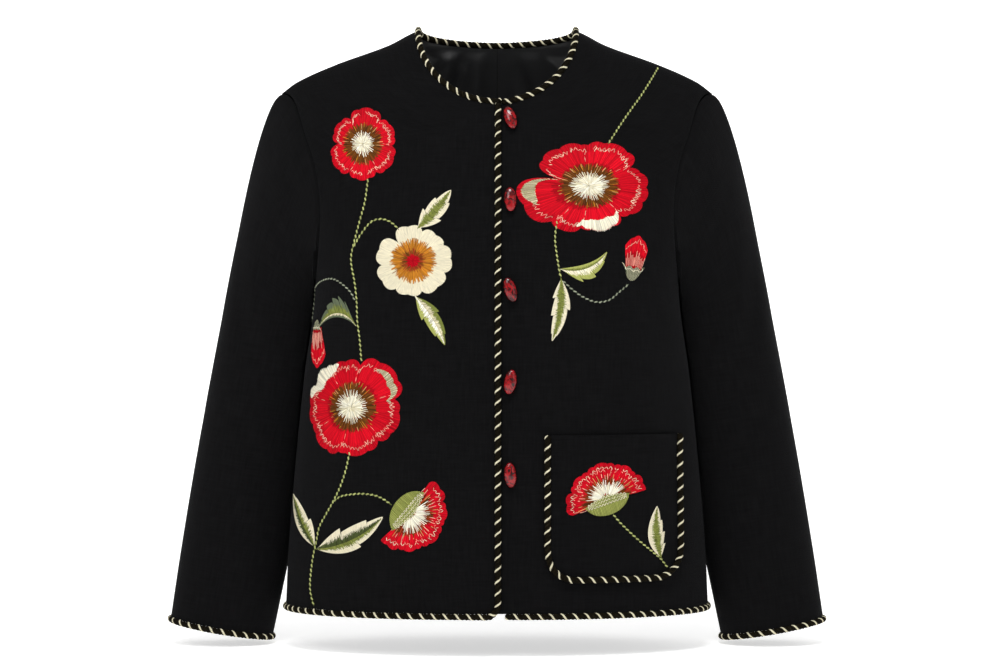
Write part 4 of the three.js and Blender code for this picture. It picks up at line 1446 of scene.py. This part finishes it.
class JACKET_OT_sleeves(bpy.types.Operator):
    """Makes both set-in sleeves with their cuff cords"""

    bl_idname = "jacket.sleeves"
    bl_label = "Sleeves"

    def execute(self, context):
        cloth = cloth_material()
        for name, side in (("right", WEARERS_RIGHT), ("left", WEARERS_LEFT)):
            points, normals, uv = sleeve_grid(side)
            sleeve = shell(f"sleeve_{name}_cloth", [(points, normals, uv)], closed_round=True)
            finished(sleeve, "cloth", cloth)
            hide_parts(f"sleeve_{name}")
            order = slice(None, None, -1) if side == WEARERS_RIGHT else slice(None)
            cuff = beside_edge(points[-1][order], normals[-1][order], closed=True)
            cord_piece(f"cuff_{name}_twist", f"cord_cuff_{name}", *cuff, closed=True)
        return {"FINISHED"}


LINING_EASED_CELLS, LINING_FOLD_LIMIT, LINING_HANGS_OFF = 7, 2.6, 2.8


def lining_half(side):
    points, normals, _ = half_panel(BACK, side, 0.0)
    points = points[LINING_ROWS_FROM:, :LINING_COLUMNS]
    normals = normals[LINING_ROWS_FROM:, :LINING_COLUMNS]
    uv = cut_uv(points)
    folds = crease_height(LINING_CREASES, points[..., 0], points[..., 2])
    rows, columns = np.indices(points.shape[:2])
    from_edges = np.minimum(np.minimum(rows, points.shape[0] - 1 - rows), columns)
    eased = smoothstep(from_edges, 0, LINING_EASED_CELLS)
    folds = np.clip(folds * eased, -LINING_FOLD_LIMIT, LINING_FOLD_LIMIT)
    folds = folds * bpy.context.scene.jacket_sizes.lining_fold - LINING_HANGS_OFF * eased
    return points + normals * folds[..., None], normals, uv


class JACKET_OT_lining(bpy.types.Operator):
    """Makes the satin lining inside the back neck, in two halves with a seam between"""

    bl_idname = "jacket.lining"
    bl_label = "Lining"

    def execute(self, context):
        satin = satin_material()
        for name, side in (("right", WEARERS_RIGHT), ("left", WEARERS_LEFT)):

            def keep(points, side=side):
                points[:, 0] = side * np.maximum(side * points[:, 0], SEAM_GAP / 2)
                return behind_seam(points)

            half = shell(
                f"lining_{name}_satin", [lining_half(side)], LINING_CLOTH, -CLOTH - SEAM_GAP,
                keep=keep,
            )
            finished(half, "lining", satin)
            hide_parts(f"lining_back_{name}")
        return {"FINISHED"}


POCKET_HEM_FROM, POCKET_HEM_TO, POCKET_HEM_PROUD, POCKET_SETS_IN = 14.5, 16.5, 0.5, 0.3


def pocket_grid(rows=45, columns=46):
    even = np.linspace(0, 1, columns)
    share = (1 - np.cos(np.pi * even)) / 2 * 0.5 + even * 0.5
    x = mix(POCKET_LEFT, POCKET_RIGHT, share)[None, :] + np.zeros((rows, 1))
    rise = np.linspace(0, 1, rows)[:, None]
    from_sides = np.minimum(x - POCKET_LEFT, POCKET_RIGHT - x)
    z = mix(POCKET_BOTTOM + corner_rise(from_sides, POCKET_CORNER), POCKET_TOP, rise)
    normals = body_normal(FRONT, x, z)
    from_top = (1 - rise) * (POCKET_TOP - POCKET_BOTTOM)
    hem = POCKET_HEM_PROUD * (1 - smoothstep(from_top, POCKET_HEM_FROM, POCKET_HEM_TO))
    points = on_pocket(x, z) + normals * (hem - POCKET_SETS_IN)[..., None]
    return points, normals, np.stack([x, z], axis=-1)


class JACKET_OT_pocket(bpy.types.Operator):
    """Makes the patch pocket with the twisted cord round its sides and bottom"""

    bl_idname = "jacket.pocket"
    bl_label = "Pocket"

    def execute(self, context):
        cloth = cloth_material()
        points, normals, uv = pocket_grid()
        patch = shell("pocket_cloth", [(points, normals, uv)], POCKET_CLOTH)
        finished(patch, "cloth", cloth)
        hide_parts("pocket")
        edge = np.concatenate([points[::-1, 0], points[0, 1:], points[1:, -1]])
        outward = np.concatenate([normals[::-1, 0], normals[0, 1:], normals[1:, -1]])
        centre, outward = beside_edge(edge, outward, CORD_RADIUS - POCKET_CLOTH)
        cord_piece("pocket_twist", "cord_pocket", centre, outward)
        return {"FINISHED"}


def neck_run(face, side, edge, under=False):
    """Points and normals along a half panel's neckline, from the centre to the neck point."""
    points, normals, _ = half_panel(face, side, edge)
    if under:
        points = lapped_under(points, normals)
    rows = slice(ROWS_BELOW_UNDERARM + ROWS_TO_NECK[face], None)
    return points[rows, 0], normals[rows, 0]


def from_x(points, normals, x):
    """A run cut where its x rises through a value."""
    n = int(np.argmax(points[:, 0] > x))
    share = (x - points[n - 1, 0]) / (points[n, 0] - points[n - 1, 0])
    start = mix(points[n - 1], points[n], share)
    return np.vstack([start, points[n:]]), np.vstack([normals[n], normals[n:]])


class JACKET_OT_edge_cords(bpy.types.Operator):
    """Makes the twisted cords round the neck, down the front edge and along the hem"""

    bl_idname = "jacket.edge_cords"
    bl_label = "Edge cords"

    def execute(self, context):
        start_x = EDGE_OVER + CORD_RADIUS
        past = np.array([start_x])
        past_z = NECK_POINT_Z - NECK_DROP[FRONT] * np.sqrt(1 - (past / NECK_RADIUS) ** 2)
        run = [(body_point(FRONT, past, past_z), body_normal(FRONT, past, past_z))]
        run.append(neck_run(FRONT, WEARERS_RIGHT, EDGE_OVER))
        back_right = neck_run(BACK, WEARERS_RIGHT, 0.0)
        run.append(tuple(part[:-1][::-1] for part in back_right))
        run.append(tuple(part[1:] for part in neck_run(BACK, WEARERS_LEFT, 0.0)))
        left = from_x(*neck_run(FRONT, WEARERS_LEFT, EDGE_UNDER, True), start_x + SEAM_GAP)
        run.append(tuple(part[:-1][::-1] for part in left))
        points, normals = (np.concatenate(parts) for parts in zip(*run))
        cord_piece("neck_twist", "cord_neck", *beside_edge(points, normals))

        right, right_normals, _ = half_panel(FRONT, WEARERS_RIGHT, EDGE_OVER, EDGE_CORNER)
        top = ROWS_BELOW_UNDERARM + ROWS_TO_NECK[FRONT] + 1
        hem = right[0, 1:][::-1].copy()
        hem[:, 1] = np.minimum(hem[:, 1], -CORD_END_GAP)
        proud = CORD_PROUD_OVER_LAP * (1 - smoothstep(-hem[:, 0], CORD_STANDS_OFF, CORD_LIES_FLAT))
        proud = np.concatenate([proud, np.full(top, CORD_PROUD_OVER_LAP)])
        normals = np.concatenate([right_normals[0, 1:][::-1], right_normals[:top, 0]])
        points = np.concatenate([hem, right[:top, 0]]) + normals * proud[:, None]
        cord_piece("front_edge_twist", "cord_front_edge", *beside_edge(points, normals))

        left, left_normals, _ = half_panel(FRONT, WEARERS_LEFT, EDGE_UNDER)
        left = lapped_under(left, left_normals)
        parts = [from_x(left[0], left_normals[0], EDGE_OVER + 2 * CORD_RADIUS)]
        back, back_normals, _ = half_panel(BACK, WEARERS_LEFT, 0.0)
        parts.append((back[0, :-1][::-1], back_normals[0, :-1][::-1]))
        back, back_normals, _ = half_panel(BACK, WEARERS_RIGHT, 0.0)
        parts.append((back[0, 1:], back_normals[0, 1:]))
        points, normals = (np.concatenate(part) for part in zip(*parts))
        cord_piece("hem_twist", "cord_hem", *beside_edge(points, normals))
        return {"FINISHED"}


# ---- Buttons -----------------------------------------------------------------------------
BUTTON_BACK_FROM, BUTTON_BACK_DRAWN_IN = 0.27, (0.86, 0.75, 0.90)
BUTTON_FOOT_FROM, BUTTON_FOOT_INSET, BUTTON_FOOT_OUT, BUTTON_ROLL = 0.36, 0.4, 0.25, 0.25


def picked_faces(piece, wanted):
    """Selects the faces whose centre passes a test, in edit mode."""
    bpy.ops.object.mode_set(mode="OBJECT")
    for polygon in piece.data.polygons:
        polygon.select = wanted(polygon.center)
    bpy.ops.object.mode_set(mode="EDIT")


def button_blank():
    """One domed oval button facing -Y, with a rolled rim and a foot behind."""
    bpy.ops.object.select_all(action="DESELECT")
    bpy.ops.mesh.primitive_uv_sphere_add(
        segments=28, ring_count=14, radius=0.5 * MM, rotation=(math.pi / 2, 0, 0)
    )
    blank = bpy.context.object
    blank.scale = (BUTTON_ACROSS, BUTTON_TALL, BUTTON_DEEP)
    bpy.ops.object.transform_apply(rotation=True, scale=True)
    bpy.ops.object.mode_set(mode="EDIT")
    bpy.ops.mesh.select_mode(type="FACE")
    picked_faces(blank, lambda centre: centre.y > BUTTON_BACK_FROM * BUTTON_DEEP * MM)
    bpy.ops.transform.resize(value=BUTTON_BACK_DRAWN_IN)
    picked_faces(blank, lambda centre: centre.y > BUTTON_FOOT_FROM * BUTTON_DEEP * MM)
    bpy.ops.mesh.inset(thickness=BUTTON_FOOT_INSET * MM)
    bpy.ops.transform.translate(value=(0, BUTTON_FOOT_OUT * MM, 0))
    bpy.ops.object.mode_set(mode="OBJECT")
    bevel = blank.modifiers.new("Rolled rim", "BEVEL")
    bevel.width, bevel.segments, bevel.angle_limit = BUTTON_ROLL * MM, 2, math.radians(35)
    bpy.ops.object.modifier_apply(modifier=bevel.name)
    bpy.ops.object.shade_smooth()
    return blank


class JACKET_OT_buttons(bpy.types.Operator):
    """Makes the five oval buttons and sets each at its turn beside the front edge"""

    bl_idname = "jacket.buttons"
    bl_label = "Buttons"

    def execute(self, context):
        gloss = button_material()
        blank = button_blank()
        x = np.array([BUTTON_X])
        for i, (height, turn) in enumerate(BUTTON_ROWS, 1):
            z = np.array([float(height)])
            normal = Vector(body_normal(FRONT, x, z)[0])
            out = BUTTON_DEEP / 2 + BUTTON_SEAT - float(lap_dip(x)[0])
            place = Vector(body_point(FRONT, x, z)[0]) + normal * out
            facing = Vector((0, -1, 0)).rotation_difference(normal).to_matrix().to_4x4()
            turned = Matrix.Rotation(math.radians(-turn), 4, "Y")
            button = bpy.data.objects.new(f"oval_button_{i}", blank.data.copy())
            button.data.transform(Matrix.Translation(place * MM) @ facing @ turned)
            context.scene.collection.objects.link(button)
            finished(button, "buttons", gloss)
            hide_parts(f"button_{i}")
        bpy.data.objects.remove(blank)
        return {"FINISHED"}


# ---- Embroidery operators ----------------------------------------------------------------
class JACKET_OT_right_embroidery(bpy.types.Operator):
    """Embroiders the right front: four flowers, a bud, their leaves and stems"""

    bl_idname = "jacket.right_embroidery"
    bl_label = "Right front embroidery"

    def execute(self, context):
        pieces = (
            stem_piece("right_front_stems", RIGHT_STEMS),
            leaf_piece("right_front_leaves", RIGHT_LEAVES),
            poppy("right_chest_poppy", -134, -116, (35.5, 38.5), ROUND_PETALS, 0.27, 0.57),
            cream_flower("right_cream_flower", -84, -233, (38.5, 36)),
            poppy(
                "right_waist_poppy", -145, -379, (53, 48), LOW_PETALS, 0.27, 0.50, WAIST_EDGES
            ),
            side_poppy("right_hem_poppy", -87, -485, (40, 37), -130, (24, 20)),
            bud("right_side_bud", -180, -299, 180, (16, 41), (11, 9)),
        )
        for piece in pieces:
            finished(piece, "embroidery", thread_material())
        return {"FINISHED"}


class JACKET_OT_left_embroidery(bpy.types.Operator):
    """Embroiders the left front and its pocket: two poppies, a bud, their leaves and stems"""

    bl_idname = "jacket.left_embroidery"
    bl_label = "Left front embroidery"

    def execute(self, context):
        pieces = (
            stem_piece("left_front_stems", LEFT_STEMS),
            leaf_piece("left_front_leaves", LEFT_LEAVES),
            poppy("left_chest_poppy", 92, -158, (61, 45.5), WIDE_PETALS, 0.26, 0.48, CHEST_EDGES),
            bud("left_bud", 136, -243, -11, (12.5, 35), (12.5, 12)),
            stem_piece("pocket_stem", POCKET_STEMS, surface=on_pocket),
            leaf_piece("pocket_leaf", POCKET_LEAVES, surface=on_pocket),
            side_poppy("pocket_poppy", 109, -471, (42, 36), 18, (23, 18), surface=on_pocket),
        )
        for piece in pieces:
            finished(piece, "embroidery", thread_material())
        return {"FINISHED"}


# ---- Stage -------------------------------------------------------------------------------
PICTURE_ACROSS = 1008.0  # what the picture holds at the side seams' distance
SENSOR = 36.0
FLOOR_GAP = 3.0
ROOM, ROOM_CURVE, ROOM_HIGH = 6400.0, 1800.0, 5200.0
FLOOR_GLOW, ROOM_LIGHT = 0.58, 0.36
MIDDLE = (0, 0, -0.35)
# name, place, aim, width, height, all in metres, and watts
LIGHTS = (
    ("key", (-1.1, -2.4, 1.7), MIDDLE, 1.2, 1.2, 20),
    ("fill", (1.9, -2.4, 0.6), MIDDLE, 1.6, 1.6, 5),
    ("back_fill", (1.4, 2.8, 0.7), MIDDLE, 1.6, 1.6, 9),
    ("floor_wash", (0, -1.5, 2.2), (0, -0.2, -0.6), 1.3, 0.7, 46),
    ("backdrop_wash", (0, 4.6, 3.4), (0, 6.4, 0.4), 5.0, 0.8, 110),
)


def soft_light(name, place, aim, width, height, power):
    data = bpy.data.lights.new(name, "AREA")
    data.shape, data.size, data.size_y, data.energy = "RECTANGLE", width, height, power
    light = bpy.data.objects.new(name, data)
    light.location = place
    light.rotation_euler = (Vector(aim) - Vector(place)).to_track_quat("-Z", "Y").to_euler()
    bpy.context.scene.collection.objects.link(light)


class JACKET_OT_stage(bpy.types.Operator):
    """Sets the pale floor and backdrop, the soft lights and the camera"""

    bl_idname = "jacket.stage"
    bl_label = "Stage"

    def execute(self, context):
        scene = context.scene
        low = CAD_BOX[0][2] / MM - FLOOR_GAP
        turn = np.linspace(0, np.pi / 2, 13)
        run_y = np.concatenate([[-ROOM, 0.0], ROOM - ROOM_CURVE * (1 - np.sin(turn)), [ROOM]])
        run_z = np.concatenate([[low, low], low + ROOM_CURVE * (1 - np.cos(turn)), [ROOM_HIGH]])
        x = np.linspace(-ROOM, ROOM, 9)
        points = np.stack(np.broadcast_arrays(x, run_y[:, None], run_z[:, None]), axis=-1)
        sweep = piece_of("floor_sweep", points, grid_faces(*points.shape[:2]))
        sweep.data.materials.append(floor_material())

        world = bpy.data.worlds.new("soft room")
        world.use_nodes = True
        background = world.node_tree.nodes["Background"]
        background.inputs["Color"].default_value = (1, 1, 1, 1)
        background.inputs["Strength"].default_value = ROOM_LIGHT
        scene.world = world
        for row in LIGHTS:
            soft_light(*row)

        camera = bpy.data.cameras.new("camera")
        camera.sensor_width = SENSOR
        camera.lens = SENSOR * SEEN_FROM / PICTURE_ACROSS
        holder = bpy.data.objects.new("camera", camera)
        holder.location = (SEEN_X * MM, -SEEN_FROM * MM, SEEN_HEIGHT * MM)
        holder.rotation_euler = (math.pi / 2, 0, 0)
        scene.collection.objects.link(holder)
        scene.camera = holder
        scene.view_settings.view_transform = "Standard"
        return {"FINISHED"}


OPERATORS = (
    JACKET_OT_body,
    JACKET_OT_sleeves,
    JACKET_OT_lining,
    JACKET_OT_pocket,
    JACKET_OT_edge_cords,
    JACKET_OT_buttons,
    JACKET_OT_right_embroidery,
    JACKET_OT_left_embroidery,
    JACKET_OT_stage,
)


class JACKET_PT_panel(bpy.types.Panel):
    """Lists the jacket's sizes, colours and pieces"""

    bl_idname = "JACKET_PT_panel"
    bl_label = "Embroidered Jacket"
    bl_space_type = "VIEW_3D"
    bl_region_type = "UI"
    bl_category = "Jacket"

    def draw(self, context):
        for group in (context.scene.jacket_sizes, context.scene.jacket_colours):
            for name in group.__annotations__:
                self.layout.prop(group, name)
        for operator in OPERATORS:
            self.layout.operator(operator.bl_idname)


CLASSES = (JacketSizes, JacketColours, *OPERATORS, JACKET_PT_panel)


def register():
    for cls in CLASSES:
        bpy.utils.register_class(cls)
    bpy.types.Scene.jacket_sizes = PointerProperty(type=JacketSizes)
    bpy.types.Scene.jacket_colours = PointerProperty(type=JacketColours)


def unregister():
    del bpy.types.Scene.jacket_colours
    del bpy.types.Scene.jacket_sizes
    for cls in reversed(CLASSES):
        bpy.utils.unregister_class(cls)


def main():
    register()
    for operator in OPERATORS:
        module, name = operator.bl_idname.split(".")
        getattr(getattr(bpy.ops, module), name)()


if __name__ == "__main__":
    main()
